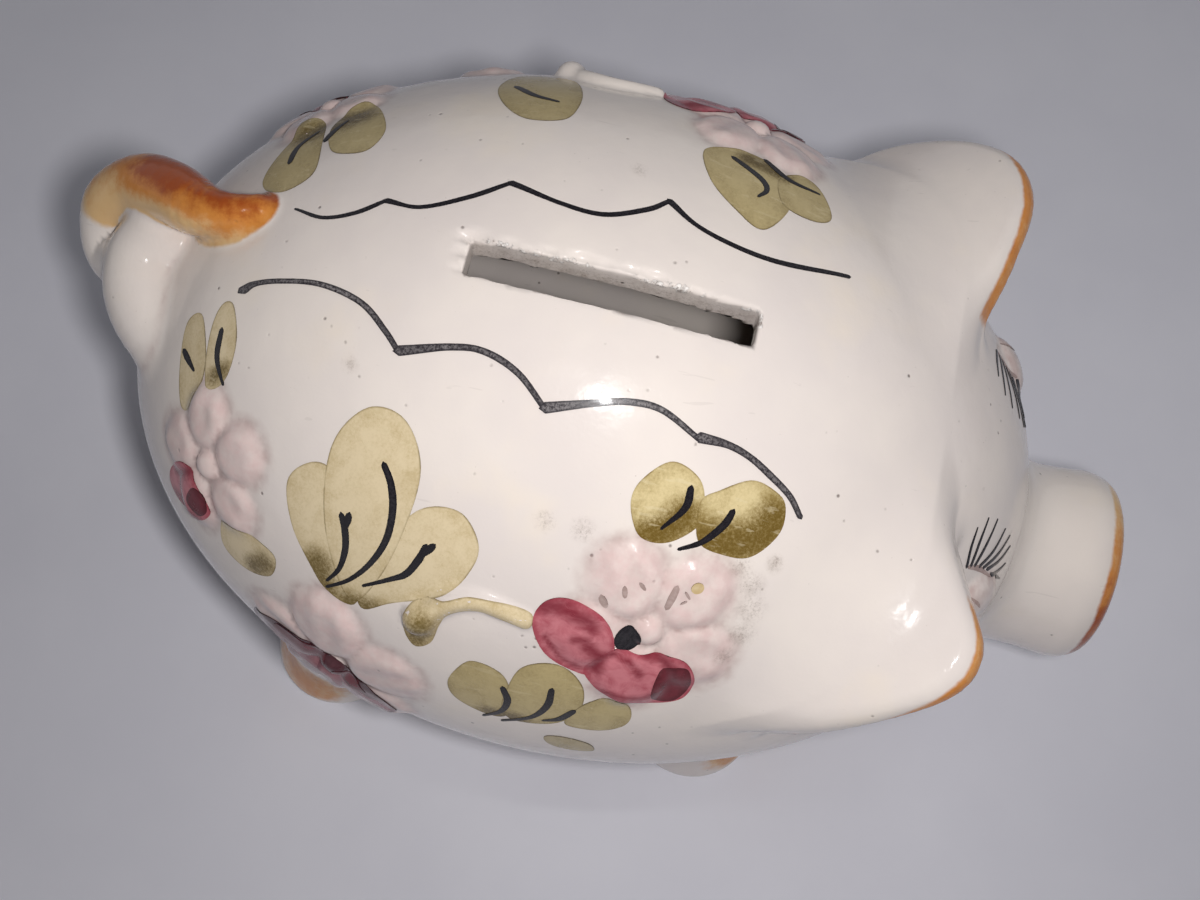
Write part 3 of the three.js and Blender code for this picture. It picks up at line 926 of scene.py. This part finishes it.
# The bung's outline, as (radius, height), and its finger bar: how far out each section is and how thick.
BUNG = [(0, 13.2), (15.5, 13.2), (17.4, 13.35), (18, 13.9), (18, 15.2), (17.7, 15.5), (14.9, 15.5),
        (14.6, 15.8), (14.6, 17.1), (13.9, 17.8), (13.9, 19), (14.6, 19.7), (14.6, 21.2), (13.9, 21.9),
        (13.2, 22), (12.5, 21.7), (12.4, 21), (12.4, 17.2), (11.8, 16.6), (0, 16.5)]
BAR_SECTIONS = [(8.0, 0.15), (7.9, 0.6), (7.4, 0.9), (6.6, 1.0), (2.5, 0.86)]
BAR = {"height": 12.2, "half_width": 1.7, "half_height": 1.6, "corners": 24}


def joined_rings(rings, corners):
    """The quads between rings of points that follow one another."""
    faces = []
    for start in range(0, (rings - 1) * corners, corners):
        for corner in range(corners):
            after = (corner + 1) % corners
            faces.append((start + corner, start + after, start + corners + after, start + corners + corner))
    return faces


def finger_bar(centre):
    """The moulded bar under the bung: rounded sections swept along x, drawn in at both ends."""
    corners = BAR["corners"]
    sections = [(-x, size) for x, size in BAR_SECTIONS] + BAR_SECTIONS[::-1]
    vertices = []
    for along, size in sections:
        for corner in range(corners):
            cos, sin = math.cos(corner * math.tau / corners), math.sin(corner * math.tau / corners)
            across = math.copysign(abs(cos) ** 0.5, cos) * BAR["half_width"] * size
            up = math.copysign(abs(sin) ** 0.5, sin) * BAR["half_height"] * size
            vertices.append((centre[0] + along, centre[1] + across, BAR["height"] + up))
    faces = joined_rings(len(sections), corners)
    for end in (0, len(sections) - 1):
        hub = len(vertices)
        vertices.append((centre[0] + sections[end][0], centre[1], BAR["height"]))
        faces += [(hub, end * corners + (k + 1) % corners, end * corners + k, hub) for k in range(corners)]
    return np.array(vertices), np.array(faces)


def stopper():
    """The rubber bung, turned from its outline, and its finger bar."""
    centre = middle_of("stopper")
    turns = 72  # points round each ring
    vertices = []
    for radius, height in BUNG:
        for turn in range(turns):
            angle = turn * math.tau / turns
            x, y = radius * math.cos(angle), radius * math.sin(angle)
            vertices.append((centre[0] + x, centre[1] + y, height))
    bar_vertices, bar_faces = finger_bar(centre)
    faces = np.vstack([joined_rings(len(BUNG), turns), bar_faces + len(vertices)])
    piece = piece_from("rubber_stopper", np.vstack([vertices, bar_vertices]), faces)
    mesh = bmesh.new()
    mesh.from_mesh(piece.data)
    bmesh.ops.remove_doubles(mesh, verts=mesh.verts, dist=1e-6)
    bmesh.ops.recalc_face_normals(mesh, faces=mesh.faces)
    mesh.to_mesh(piece.data)
    mesh.free()
    dress(piece, rubber(), SLOTS["stopper"], "stopper", body="stopper")


# ---------- brushwork: thin closed films of colour lying on the glaze ----------
def surface(points):
    """The clay without its slot and hollow, for the paint to settle on."""
    return clay(points, hollow=False)


def settle(points, directions):
    """Slides points along their directions until they lie on the clay."""
    for _ in range(8):
        gap = surface(points)
        rise = (surface(points + 0.05 * directions) - gap) / 0.05
        points = points - (np.clip(gap / np.maximum(rise, 0.3), -4, 4))[:, None] * directions
    return points


def tangent_place(y, angle):
    """Lays flat millimetres (x towards +X, y towards the rump) on the body round one spot."""
    origin, axes = on_egg(y, angle)

    def lay(flat):
        points = origin + flat[:, :1] * axes[0] + flat[:, 1:] * axes[1] + 4 * axes[2]
        return settle(points, np.broadcast_to(axes[2], points.shape))
    return lay


DEGREE = 0.82  # millimetres across the back for each degree from the top
FINE_GRAIN = 0.4
BITE = 0.15  # how far a film reaches into the glaze
LEVELLING = 1.1  # thick paint levels creases narrower than this


def wrapped(flat):
    """Lays (degrees times DEGREE, y) on the body."""
    spots = [on_egg(y, x / DEGREE) for x, y in flat]
    points = np.array([origin for origin, _ in spots])
    return settle(points, np.array([axes[2] for _, axes in spots]))


def evenly(outline, step):
    """The closed outline resampled at about one step."""
    closed = np.vstack([outline, outline[:1]])
    lengths = np.concatenate([[0], np.cumsum(np.linalg.norm(np.diff(closed, axis=0), axis=1))])
    count = max(12, int(lengths[-1] / step))
    at = np.linspace(0, lengths[-1], count, endpoint=False)
    return np.column_stack([np.interp(at, lengths, closed[:, k]) for k in (0, 1)])


def strokes_on(flat, strokes):
    """How strongly brush strokes, each a course and a half width, mark the points of a film: 0 to 1."""
    depth = np.zeros(len(flat))
    for course, half_width in strokes:
        path = np.array(course, float)
        gap = cord_distance(flat, path, np.full(len(path), half_width))
        depth = np.maximum(depth, np.clip(0.5 - gap / (0.6 + half_width), 0, 1))
    return depth


def film(outline, lay, lift, grain, strokes=()):
    """A painted patch: top skin just above the glaze, underside just below it, closed round its rim."""
    rim = evenly(np.asarray(outline, float), grain * 0.6)
    low, high = rim.min(axis=0), rim.max(axis=0)
    grid = np.stack(np.meshgrid(*[np.arange(a, b, grain) for a, b in zip(low, high)]), -1).reshape(-1, 2)
    inside = outline_distance(grid, rim) < -0.45 * grain
    flat = np.vstack([rim, grid[inside]])
    edges = [(k, (k + 1) % len(rim)) for k in range(len(rim))]
    flat_out, _, triangles, *_ = delaunay_2d_cdt([Vector(p) for p in flat], edges, [], 1, 1e-6)
    flat = np.array([list(p) for p in flat_out])
    triangles = np.array(triangles)
    a, b, c = (flat[triangles[:, k]] for k in range(3))
    turned = (b[:, 0] - a[:, 0]) * (c[:, 1] - a[:, 1]) - (b[:, 1] - a[:, 1]) * (c[:, 0] - a[:, 0]) < 0
    triangles[turned] = triangles[turned][:, ::-1]
    spots = lay(flat)
    normals = slope_of(surface, spots, LEVELLING)
    count = len(flat)
    vertices = np.vstack([spots + lift * normals, spots - BITE * normals])
    rim_faces = []
    directed = {(int(t[k]), int(t[(k + 1) % 3])) for t in triangles for k in range(3)}
    for start, end in directed:
        if (end, start) not in directed:
            rim_faces += [(end, start, start + count), (end, start + count, end + count)]
    faces = np.vstack([triangles, triangles[:, ::-1] + count, np.array(rim_faces)])
    edge = np.tile(np.abs(outline_distance(flat, rim)), 2)
    return vertices, faces, np.vstack([normals, normals]), edge, np.tile(strokes_on(flat, strokes), 2)


def paint(name, films, material, slot):
    """One piece made of several films of the same paint."""
    starts = np.cumsum([0] + [len(vertices) for vertices, *_ in films])
    faces = np.vstack([part[1] + start for part, start in zip(films, starts)])
    vertices, normals, edge, stroke = (np.concatenate([part[k] for part in films]) for k in (0, 2, 3, 4))
    piece = piece_from(name, vertices, faces, normals, {"edge": edge, "stroke": stroke})
    return dress(piece, material, slot)


def ribbon(points, widths, samples=40):
    """The outline of a brush line with the given widths along its smooth middle."""
    middle = catmull(points, samples) if len(points) > 2 else np.linspace(points[0], points[1], samples)
    width = np.interp(np.linspace(0, 1, samples), np.linspace(0, 1, len(widths)), widths) / 2
    along = np.gradient(middle, axis=0)
    along /= np.linalg.norm(along, axis=1)[:, None]
    across = np.column_stack([-along[:, 1], along[:, 0]]) * width[:, None]
    start = middle[:1] - along[:1] * width[0]
    end = middle[-1:] + along[-1:] * width[-1]
    return np.vstack([start, middle + across, end, (middle - across)[::-1]])


def leaf_paint(name, pale, deep, darkest, scratched):
    """Granular olive wash with a thin dark rim, pooled darker where the brush rested."""
    n = Nodes(name)
    grains = n.noise(2.6, 4, 0.8)
    mottle = n.noise(0.32, 5, 0.65, distortion=0.5)
    broken = n.remap(n.noise(0.25, 3, 0.6), 0.35, 0.6, 0.25, 1)
    rim = n.times(n.remap(n.number("edge"), 0.0, 0.26, 1, 0), broken)
    pool = n.remap(n.number("edge"), 0.2, 2.6, 1, 0)
    stroke = n.number("stroke")
    tone = n.plus(n.times(mottle, 0.8), n.times(grains, 0.7))
    tone = n.plus(tone, n.times(pool, 0.12))
    tone = n.plus(tone, n.times(stroke, 0.35))
    colour = n.mix(n.remap(tone, 0.6, 1.3), pale, deep)
    rested = n.times(stroke, n.remap(grains, 0.3, 0.7, 0.55, 1.1))
    colour = n.mix(n.remap(rested, 0.05, 1.0), colour, darkest)
    colour = n.mix(n.times(rim, 0.7), colour, darkest)
    speck = n.remap(n.noise(1.6, 3, 0.8), 0.66, 0.74, 0, 0.6)
    colour = n.mix(speck, colour, deep)
    scratch = n.remap(n.noise(1.5, 2, 0.5, (1, 0.14, 1), 0.2), 0.60, 0.68, 0, scratched)
    colour = n.mix(scratch, colour, srgb(222, 208, 172))
    return n.finish(Base_Color=colour, Roughness=n.remap(mottle, 0.3, 0.7, 0.16, 0.3),
                    Normal=n.bump(grains, 0.012), Coat_Weight=0.3, Coat_Roughness=0.06)


def petal_paint(name, pale, deep, darkest):
    """Crimson wash, streaked by the brush, with darker strokes laid over it."""
    n = Nodes(name)
    mottle = n.noise(0.42, 5, 0.65, distortion=1.0)
    streak = n.noise(0.95, 3, 0.55, (1, 0.6, 1), 0.8)
    pool = n.remap(n.number("edge"), 0.0, 0.9, 1, 0)
    tone = n.plus(n.times(mottle, 0.85), n.times(streak, 0.4))
    tone = n.plus(tone, n.times(pool, 0.22))
    colour = n.mix(n.remap(tone, 0.48, 0.95), pale, deep)
    laid = n.plus(n.number("stroke"), n.swing(streak, 0.7))
    colour = n.mix(n.remap(laid, 0.05, 1.15), colour, darkest)
    return n.finish(Base_Color=colour, Roughness=n.remap(mottle, 0.3, 0.7, 0.14, 0.28),
                    Normal=n.bump(streak, 0.03), Coat_Weight=0.3, Coat_Roughness=0.06)


def line_paint(name, full, dry, dryness):
    """Black brush line, drier and greyer along its middle."""
    n = Nodes(name)
    middle = n.remap(n.number("edge"), 0.05, 0.32)
    bristle = n.remap(n.noise(2.8, 4, 0.75), 0.36, 0.62)
    load = n.remap(n.noise(0.12, 2, 0.5), 0.4, 0.6, 0.5, 1)
    grey = n.times(n.times(middle, bristle), load)
    colour = n.mix(n.times(grey, dryness), full, dry)
    return n.finish(Base_Color=colour, Roughness=n.remap(bristle, 0, 1, 0.2, 0.35), Coat_Weight=0.3,
                    Coat_Roughness=0.06)


KHAKI = leaf_paint("khaki_leaf", srgb(221, 203, 168), srgb(184, 163, 118), srgb(112, 94, 52), 0.15)
OLIVE = leaf_paint("olive_leaf", srgb(214, 196, 150), srgb(150, 128, 74), srgb(108, 86, 36), 0.3)
SHADED = leaf_paint("shaded_leaf", srgb(188, 170, 124), srgb(146, 128, 84), srgb(98, 82, 46), 0.2)
CRIMSON = petal_paint("crimson", srgb(198, 120, 128), srgb(166, 74, 86), srgb(130, 46, 58))
MAROON = petal_paint("maroon", srgb(158, 106, 112), srgb(112, 60, 70), srgb(74, 34, 42))
DEEP_CRIMSON = petal_paint("deep_crimson", srgb(112, 42, 52), srgb(86, 28, 36), srgb(62, 20, 28))
FLECK = petal_paint("grey_fleck", srgb(196, 176, 170), srgb(160, 138, 132), srgb(130, 108, 102))
YELLOW = petal_paint("yellow_dot", srgb(214, 194, 156), srgb(196, 170, 124), srgb(170, 140, 90))
BLACK = line_paint("black_line", srgb(27, 24, 29), srgb(62, 58, 62), 0.4)
DRY_BLACK = line_paint("dry_black_line", srgb(52, 48, 52), srgb(148, 142, 142), 0.85)

# Leaves: where each lies (y, degrees from the top) and, in millimetres round that spot with x towards
# +X and y towards the rump: its lobes, its black veins from the tip inwards, and where the brush rested.
LEAVES = {
    "leaf_flank": ((23.5, -47), KHAKI, [
        [(-11.5, 0), (-11, 4), (-8, 6.8), (-3.5, 10), (2, 11.5), (5.5, 8.5), (5, 5), (0, 2.5), (-6, -1)],
        [(-11.5, -1), (-6, 0), (0, -3), (5, -6.5), (6, -11), (3, -14), (-0.5, -14), (-5, -11.5), (-9, -5)],
        [(-11, 0.5), (-4, 4.5), (4, 6.5), (10, 6.3), (14.3, 3.2), (14.2, -1.5), (9.5, -5), (2, -5),
         (-6, -3)]],
        [[(0.5, 3.3), (-1.5, 2.4), (-4, 2), (-7, 2.5), (-9.5, 4)],
         [(8.5, -0.5), (6.5, -2), (3.5, -3), (-0.5, -3), (-4.5, -1.5), (-8, 1), (-10.5, 4)],
         [(0.5, -8), (-1.5, -7.5), (-4, -6.3), (-5.5, -4.5), (-8, -1)],
         [(0.9, 2.3), (-1.2, 2.4)], [(0.9, -8.9), (-1.2, -7.5)]],
        [([(-7.6, 5.6), (-11.5, 4.2)], 2.2), ([(-11.6, 0.8), (-11.4, -3)], 1.9)]),
    "leaf_shoulder": ((-15.5, -31), OLIVE, [
        [(-0.5, 9), (2.5, 8.5), (5.5, 5.5), (4.5, 2), (2, 0.5), (-1, 0.3), (-4, 3.5), (-4, 7)],
        [(1.6, 1), (3.5, -1), (5.5, -4.5), (5, -7.5), (3.5, -9.5), (0, -9.7), (-3.5, -7), (-4, -3.5),
         (-3, 0)]],
        [[(3, 2.5), (0.5, 2.6), (-2.5, 4.7)], [(1.4, -3.2), (-0.5, -2.5), (-3, -0.5), (-4.5, 2)]],
        [([(-3.6, 6), (-2.4, 4), (-0.4, 2.4)], 2.0),
         ([(-2.6, -1), (-2.2, -5), (-0.8, -7.6), (1.6, -8.6)], 2.6)]),
    "leaf_belly": ((-3, -68), SHADED, [
        [(-1.5, 12.5), (3, 11), (4, 9), (3, 6), (0, 4.5), (-5.5, 4), (-6.8, 6.5), (-5, 11)],
        [(0.5, 5), (5, 4), (7, 1), (6.5, -2), (3.5, -4.4), (-1, -4.6), (-5, -2), (-6.5, 3), (-4, 5)],
        [(-1, -4), (1.5, -5.6), (3.5, -8.5), (1, -11), (-2.5, -11), (-4.8, -8), (-4.6, -3.5)],
        [(-9.5, -1.5), (-8.5, -4), (-9.5, -7.5), (-12, -8.5), (-13, -5.5), (-12, -2.5)]],
        [[(0.5, 5.5), (-2, 4.5), (-5, 5), (-7.5, 7)], [(2.5, -0.5), (-1, -0.5), (-4.5, 1), (-7.5, 4.5)],
         [(-1, -4), (-3.5, -2.5), (-4.7, -0.6)]],
        [([(-6.2, 6.2), (-6, 2.6)], 1.5)]),
    "leaf_rump": ((50, -28), KHAKI, [
        [(-8, 3), (-1, 4.7), (3, 4.7), (4, 2), (-1.5, -1), (-7, 0)],
        [(-3.5, -1.5), (2.5, -0.5), (6, -1), (6.5, -3), (2.5, -5.5), (-2, -5.5), (-4.5, -3.5)]],
        [[(3, -2.5), (-0.5, -3), (-3.5, -5)], [(-1, 4), (-3, 1)]], [([(-1.6, -4.6), (-3, -3)], 1.1)]),
    "leaf_rump_far": ((43, 24), SHADED, [
        [(-3, 8), (-6, 5.5), (-6, 2), (-3.5, -0.5), (2.5, 0.5), (8.5, 2.5), (8.5, 5.5), (2.5, 7.5)],
        [(0.5, -1.5), (-1, -4.5), (-0.5, -7.5), (3.5, -8.5), (9, -6), (12, -3), (10, -0.5), (6, 0.5)]],
        [[(-0.5, 4.5), (3, 4.5), (6, 2.5)], [(3, 0.2), (5.5, -0.5), (7.5, -1.5)]],
        [([(6, 4), (8, -3)], 2.2)]),
    "leaf_flank_far": ((17, 39), SHADED, [
        [(5, 6.3), (-1, 5), (-5.3, 1.5), (-5.3, -3), (-2.8, -5), (4, -5.2), (11, -2.6), (12, 4)]],
        [[(4.5, 4), (1.5, 1), (0, -2.5)]], []),
    "leaf_shoulder_far": ((-13.5, 29), SHADED, [
        [(3.5, 8), (-2.5, 6.5), (-6.5, 2.5), (-8, -1.5), (-2, -4.5), (3.5, -3.5), (6.5, -0.5), (6.5, 4)],
        [(3, -2.5), (6.5, -5.5), (5.5, -8.5), (0, -10.5), (-2.5, -8), (-2, -3.5)]],
        [[(4, 4), (1.5, 0), (-0.5, -1), (-2.5, 0)], [(6.5, -0.5), (4, -4), (4, -8.5)]],
        [([(5, 2), (4.6, -3)], 1.5)]),
    "leaf_hip": ((39, -64), KHAKI, [
        [(1.5, 4.5), (2.5, 1.5), (2.5, -2.5), (1.5, -5), (-2, -4.5), (-4, -1), (-4, 2.5), (-2.5, 4.5)]], [],
        [([(-0.4, -3.4), (-2.4, -1.6)], 1.6)]),
}


def stacked(outlines, lay, lift, step, grain=FINE_GRAIN, strokes=()):
    """Films laid one over another, each a little higher than the one before."""
    return [film(outline, lay, lift + step * number, grain, strokes)
            for number, outline in enumerate(outlines)]


def leaves():
    """Washes of khaki and olive, and the black veins over them."""
    vein_widths = (0.8, 1.0, 0.9, 0.65, 0.4)
    for name, (spot, material, lobes, veins, rests) in LEAVES.items():
        lay = tangent_place(*spot)
        outlines = [catmull(lobe, 60, closed=True) for lobe in lobes]
        paint(f"{name}_lobes", stacked(outlines, lay, 0.05, 0.012, 0.8, rests), material, "glaze_cream")
        lines = [ribbon(vein, vein_widths) for vein in veins]
        if lines:
            paint(f"{name}_veins", stacked(lines, lay, 0.11, 0.006), BLACK, "glaze_cream")


# Scalloped black lines along the back: arcs that meet in cusps, as (y, degrees from the top).
SCALLOPS = {
    "scallop_right": ((1.5, 0.95, 0.85, 0.9, 0.8, 0.7), [
        [(46.6, -12.7), (45.1, -10.8), (41.8, -9.6), (36.4, -9.2), (30.7, -11.3), (26.8, -15.2),
         (24.3, -18.4)],
        [(24.5, -18), (18.5, -15.5), (14.5, -15), (10, -17), (5.8, -21.3)],
        [(6, -21), (0.5, -18.5), (-3.5, -17), (-7.5, -17), (-12.7, -19.9)],
        [(-12.5, -19.5), (-16, -19.5), (-19, -20.5), (-22, -22.5), (-25, -25), (-27, -28)]]),
    "scallop_left": ((0.4, 0.6, 0.65, 0.7, 0.75, 0.6), [
        [(43, 7.5), (39, 5), (35, 6), (31.5, 9)], [(31.5, 9), (27, 8), (21.5, 11), (17, 15)],
        [(17, 15), (10.5, 12.5), (5, 12), (0, 15), (-2.5, 18)],
        [(-2.5, 18), (-6, 15), (-10, 13.5), (-15, 13), (-20, 14), (-27, 17)]]),
}


def scallops():
    """The scalloped lines, each arc a little thicker where it starts from the one before."""
    for name, (widths, arcs) in SCALLOPS.items():
        lines = []
        for arc in arcs:
            course = [(angle * DEGREE, y) for y, angle in arc]
            first = widths[1] * 1.5 if lines else widths[0]
            lines.append(ribbon(course, (first, *widths[1:]), 70))
        ink = DRY_BLACK if name == "scallop_right" else BLACK
        paint(name, stacked(lines, wrapped, 0.09, 0.01), ink, "glaze_cream")


# The khaki brushed over the near stem, as (degrees from the top, y).
STEM_PAINT = [(-51.6, 1.4), (-50.9, 5), (-51.2, 9), (-53.2, 12), (-54.4, 14.6), (-57, 16.2), (-61.5, 16.4),
              (-64.6, 14.6), (-62.6, 12.6), (-58.4, 12), (-55.4, 11), (-53.6, 8), (-53.8, 4), (-54, 1.4)]


def stem_paint():
    """One khaki stroke over the near stem, darker where the brush rested."""
    outline = catmull([(angle * DEGREE, y) for angle, y in STEM_PAINT], 110, closed=True)
    wash = film(outline, wrapped, 0.06, 0.6, [([(-63 * DEGREE, 14.6), (-58 * DEGREE, 13.8)], 1.6)])
    paint("stem_paint", [wash], KHAKI, SLOTS["stem_right"])


# Paint on the relief flowers, in millimetres round a spot (y, degrees down the flank) with x towards the
# spine and y towards the rump: crimson petals, dark strokes on them, and patches of the darkest crimson.
PETAL_PAINT = {
    "front": ((-10.5, 52), [
        [(2, 11), (3.4, 9), (3.3, 6), (2.4, 3.6), (0.2, 1.8), (-3, 1.2), (-6.8, 2.4), (-6.6, 6),
         (-4.8, 9.4), (-1, 11.6)],
        [(-1.8, 1.4), (-1.9, -2), (-1.3, -5), (-2, -8), (-5, -9.9), (-8.5, -9.4), (-10, -6), (-9.8, -1.5),
         (-8.6, 2), (-5.8, 4)]],
        [([(1.6, 10.8), (2.2, 8.6), (1.6, 5.6), (0.8, 4.6)], 1.1), ([(-1.5, 6.4), (-1.2, 4.8)], 0.6),
         ([(-2.2, 4.4), (-3.2, 2.6), (-5.4, 2.6)], 1.0), ([(-2.5, 1.5), (-3, -1), (-4.8, -2.8)], 0.5),
         ([(-1.8, -3), (-2, -5), (-3.4, -6.6)], 0.8), ([(-2.4, 9.6), (-5, 7.4), (-6, 4.6)], 0.4),
         ([(-8.8, 0.6), (-9, -3.6), (-7.6, -6)], 0.5)],
        [[(-4, -5), (-3, -6.4), (-3, -8.5), (-6, -9.6), (-8.8, -8.6), (-9.4, -6.4), (-8, -5)]]),
    "rear": ((25, 81), [
        [(-2, 14), (1.5, 11), (3, 6), (2.6, 1.6), (-2, 0), (-8, 3), (-9.5, 8), (-7, 13)],
        [(2, 1.4), (0.6, -3.4), (-3, -8), (-7, -9.5), (-10.4, -6), (-10.4, -1), (-7, 2), (-3, 2.4)]],
        [([(-1.6, 13.4), (1.4, 9.6), (2, 5), (1, 0.6), (-2, -6)], 2.4), ([(-7, 2), (-8, 7)], 1.2)],
        [[(2, 9), (2.6, 5), (1.8, 1.4), (-0.6, 1.4), (-1.6, 6), (-0.4, 9.4)],
         [(0.4, -0.8), (-1.2, -4), (-3.4, -5), (-2.4, -0.4)]]),
    "rump": ((46, 52), [
        [(-3, 1.5), (-1.8, 4.5), (-5, 8.3), (-8, 9.2), (-9.8, 7), (-9.5, 3), (-8.5, 0), (-6, -1.6)]],
        [([(-2.6, 3), (-5, 7)], 0.8), ([(-8.6, 1), (-9, 7.6)], 1.0)],
        [[(-4, 1.4), (-4.4, -0.6), (-6.4, -1.2), (-7.8, 0.4), (-6.6, 2.6)]]),
}
# Grey-brown flecks round the near flower's eye: their two ends and width.
FLECKS = [((5, 4.4), (3.9, 3.7), 1.0), ((7, 2.1), (5.9, 1.8), 0.7), ((7.9, 0.4), (7.3, -0.3), 0.5),
          ((8.2, -4), (5.4, -3.5), 0.95), ((7.8, -5.2), (7.0, -5.9), 0.35), ((6.6, -5.6), (6.2, -5), 0.3)]


def blob(x, y, width, height, corners=8):
    """A round brush dab."""
    turns = [k * math.tau / corners for k in range(corners)]
    points = [(x + width / 2 * math.cos(turn), y + height / 2 * math.sin(turn)) for turn in turns]
    return catmull(points, 44, closed=True)


def flower_centre(lay, slot):
    """The black eye, the flecks and the yellow dot of the near front flower, the only one to show them."""
    flecks = [ribbon(np.array([start, end], float), (width * 0.8, width, width * 0.7), 14)
              for start, end, width in FLECKS]
    paint("flecks_right", stacked(flecks, lay, 0.12, 0), FLECK, slot)
    paint("yellow_dot_right", [film(blob(8.5, -6.5, 1.5, 1.6), lay, 0.12, FINE_GRAIN)], YELLOW, slot)
    paint("flower_eye_right", [film(blob(0, 0, 3.5, 3.3, 7), lay, 0.2, 0.35)], BLACK, slot)


def petal_films():
    """Crimson washes on the relief petals, and the darkest crimson over them."""
    for end, (spot, petals, strokes, darks) in PETAL_PAINT.items():
        for name, side in SIDES:
            flip = np.array([-side, 1])
            lay = tangent_place(spot[0], side * spot[1])
            slot = SLOTS[f"flower_{end}_{name}"]
            marks = [(np.array(course) * flip, width) for course, width in strokes]
            washes = [catmull(petal, 60, closed=True) * flip for petal in petals]
            wash_paint = MAROON if end == "rear" else CRIMSON
            paint(f"petals_{end}_{name}", stacked(washes, lay, 0.13, 0.02, 0.42, marks), wash_paint, slot)
            pools = [catmull(dark, 50, closed=True) * flip for dark in darks]
            paint(f"dark_petals_{end}_{name}", stacked(pools, lay, 0.22, 0), DEEP_CRIMSON, slot)
            if (end, name) == ("front", "right"):
                flower_centre(lay, slot)


# Lashes start along the upper lid of each eye and fan out, in millimetres round the eye as for the petals.
LASHES = [[(5.3, 5.7), (8, 5.5), (10.5, 4.6)], [(5.3, 4.7), (8.5, 3.6), (11.5, 2.0)],
          [(5.2, 3.7), (8, 1.6), (11, -0.6)], [(4.9, 2.4), (6.6, -0.8), (9.2, -3.6)],
          [(4.5, 1.2), (5.8, -2.6), (7.8, -6)], [(4.1, 0), (4.6, -3.6), (6, -7.2)],
          [(3.3, -1), (2.9, -4), (3.4, -7.2)], [(2.4, -3.6), (1.2, -6.6)]]
LID = [(5.2, 5.2), (4.6, 2.4), (3.2, -0.6)]
LID_CREASE = [(1.2, 4.4), (0.2, 2.6), (-0.6, 1.6)]


def lashes():
    """Fans of fine lashes over each eye, its lid, and the brown of its inner corner."""
    for name, side in SIDES:
        flip = np.array([-side, 1])
        lay = tangent_place(EYE_PLACE[0], side * EYE_PLACE[1])
        lines = [ribbon(np.array(course) * flip, (0.5, 0.46, 0.2), 24) for course in LASHES]
        paint(f"lashes_{name}", stacked(lines, lay, 0.09, 0.004, 0.35), BLACK, "glaze_cream")
        lid = film(ribbon(np.array(LID) * flip, (0.5, 0.9, 0.3), 24), lay, 0.07, FINE_GRAIN)
        crease = film(ribbon(np.array(LID_CREASE) * flip, (0.2, 0.5, 0.2), 16), lay, 0.07, 0.35)
        paint(f"lid_{name}", [lid, crease], FLECK, "glaze_cream")


clay_meshes()
stopper()
leaves()
scallops()
stem_paint()
petal_films()
lashes()


# ---------- floor, light and camera ----------
CAMERA_PLACE = Vector((-70.8, -7.6 + SHIFT[1], 244.8)) * MM
LOOKING = Vector((0.3316, 0.0231, -0.9431))
IMAGE_RIGHT = Vector((0.2233, -0.9732, 0.0547))
FOCAL_LENGTH = 39.9


def camera():
    """The photograph's view, from above the pig's right side."""
    data = bpy.data.cameras.new("camera")
    data.lens = FOCAL_LENGTH
    data.sensor_width = 36
    data.clip_start = 0.01
    thing = bpy.data.objects.new("camera", data)
    bpy.context.scene.collection.objects.link(thing)
    back = -LOOKING.normalized()
    right = (IMAGE_RIGHT - IMAGE_RIGHT.dot(back) * back).normalized()
    up = back.cross(right)
    thing.matrix_world = Matrix.Translation(CAMERA_PLACE) @ Matrix((right, up, back)).transposed().to_4x4()
    bpy.context.scene.camera = thing


def area_light(name, place, target, size, power, colour=(1, 1, 1), only_gloss=False):
    """A round lamp that lights the scene, or one seen only as a gleam on the glaze."""
    data = bpy.data.lights.new(name, "AREA")
    data.shape = "DISK"
    data.size = size * MM
    data.energy = power
    data.color = colour
    thing = bpy.data.objects.new(name, data)
    bpy.context.scene.collection.objects.link(thing)
    place, target = Vector(place) * MM, Vector(target) * MM
    thing.location = place
    thing.rotation_euler = (target - place).to_track_quat("-Z", "Y").to_euler()
    thing.visible_diffuse = not only_gloss
    thing.visible_glossy = only_gloss


def floor():
    """A plain pale table."""
    half = 6000
    corners = [(-half, -half, 0), (half, -half, 0), (half, half, 0), (-half, half, 0)]
    piece = piece_from("floor", np.array(corners, float), np.array([[0, 1, 2, 3]]))
    n = Nodes("pale_table")
    colour = n.mix(n.remap(n.noise(0.02, 5), 0.3, 0.7), srgb(226, 225, 234), srgb(232, 231, 239))
    piece.data.materials.append(n.finish(Base_Color=colour, Roughness=0.36))


def world():
    """A plain pale room: brighter low down, dimmer overhead."""
    thing = bpy.data.worlds.new("room")
    thing.use_nodes = True
    tree = thing.node_tree
    background = tree.nodes["Background"]
    background.inputs["Color"].default_value = (0.93, 0.95, 1.0, 1)
    height = tree.nodes.new("ShaderNodeSeparateXYZ")
    tree.links.new(tree.nodes.new("ShaderNodeTexCoord").outputs["Generated"], height.inputs[0])
    strength = tree.nodes.new("ShaderNodeMapRange")
    strength.interpolation_type = "SMOOTHSTEP"
    for socket, value in (("From Min", 0.0), ("From Max", 0.75), ("To Min", 0.34), ("To Max", 0.07)):
        strength.inputs[socket].default_value = value
    tree.links.new(height.outputs["Z"], strength.inputs["Value"])
    tree.links.new(strength.outputs[0], background.inputs["Strength"])
    bpy.context.scene.world = thing


floor()
world()
camera()
area_light("flash", (-69.5, -19.5 + SHIFT[1], 243), (0, 0, 50), 16, 0.262, (1.0, 0.985, 0.975))
area_light("window", (240, -280, 380), (0, 0, 30), 300, 0.3, (0.98, 0.98, 1.0))
area_light("gleam", (-36.9, -21.5 + SHIFT[1], 277.7), (0, 0, 50), 6, 0.045, only_gloss=True)

bpy.context.scene.view_settings.view_transform = "Standard"
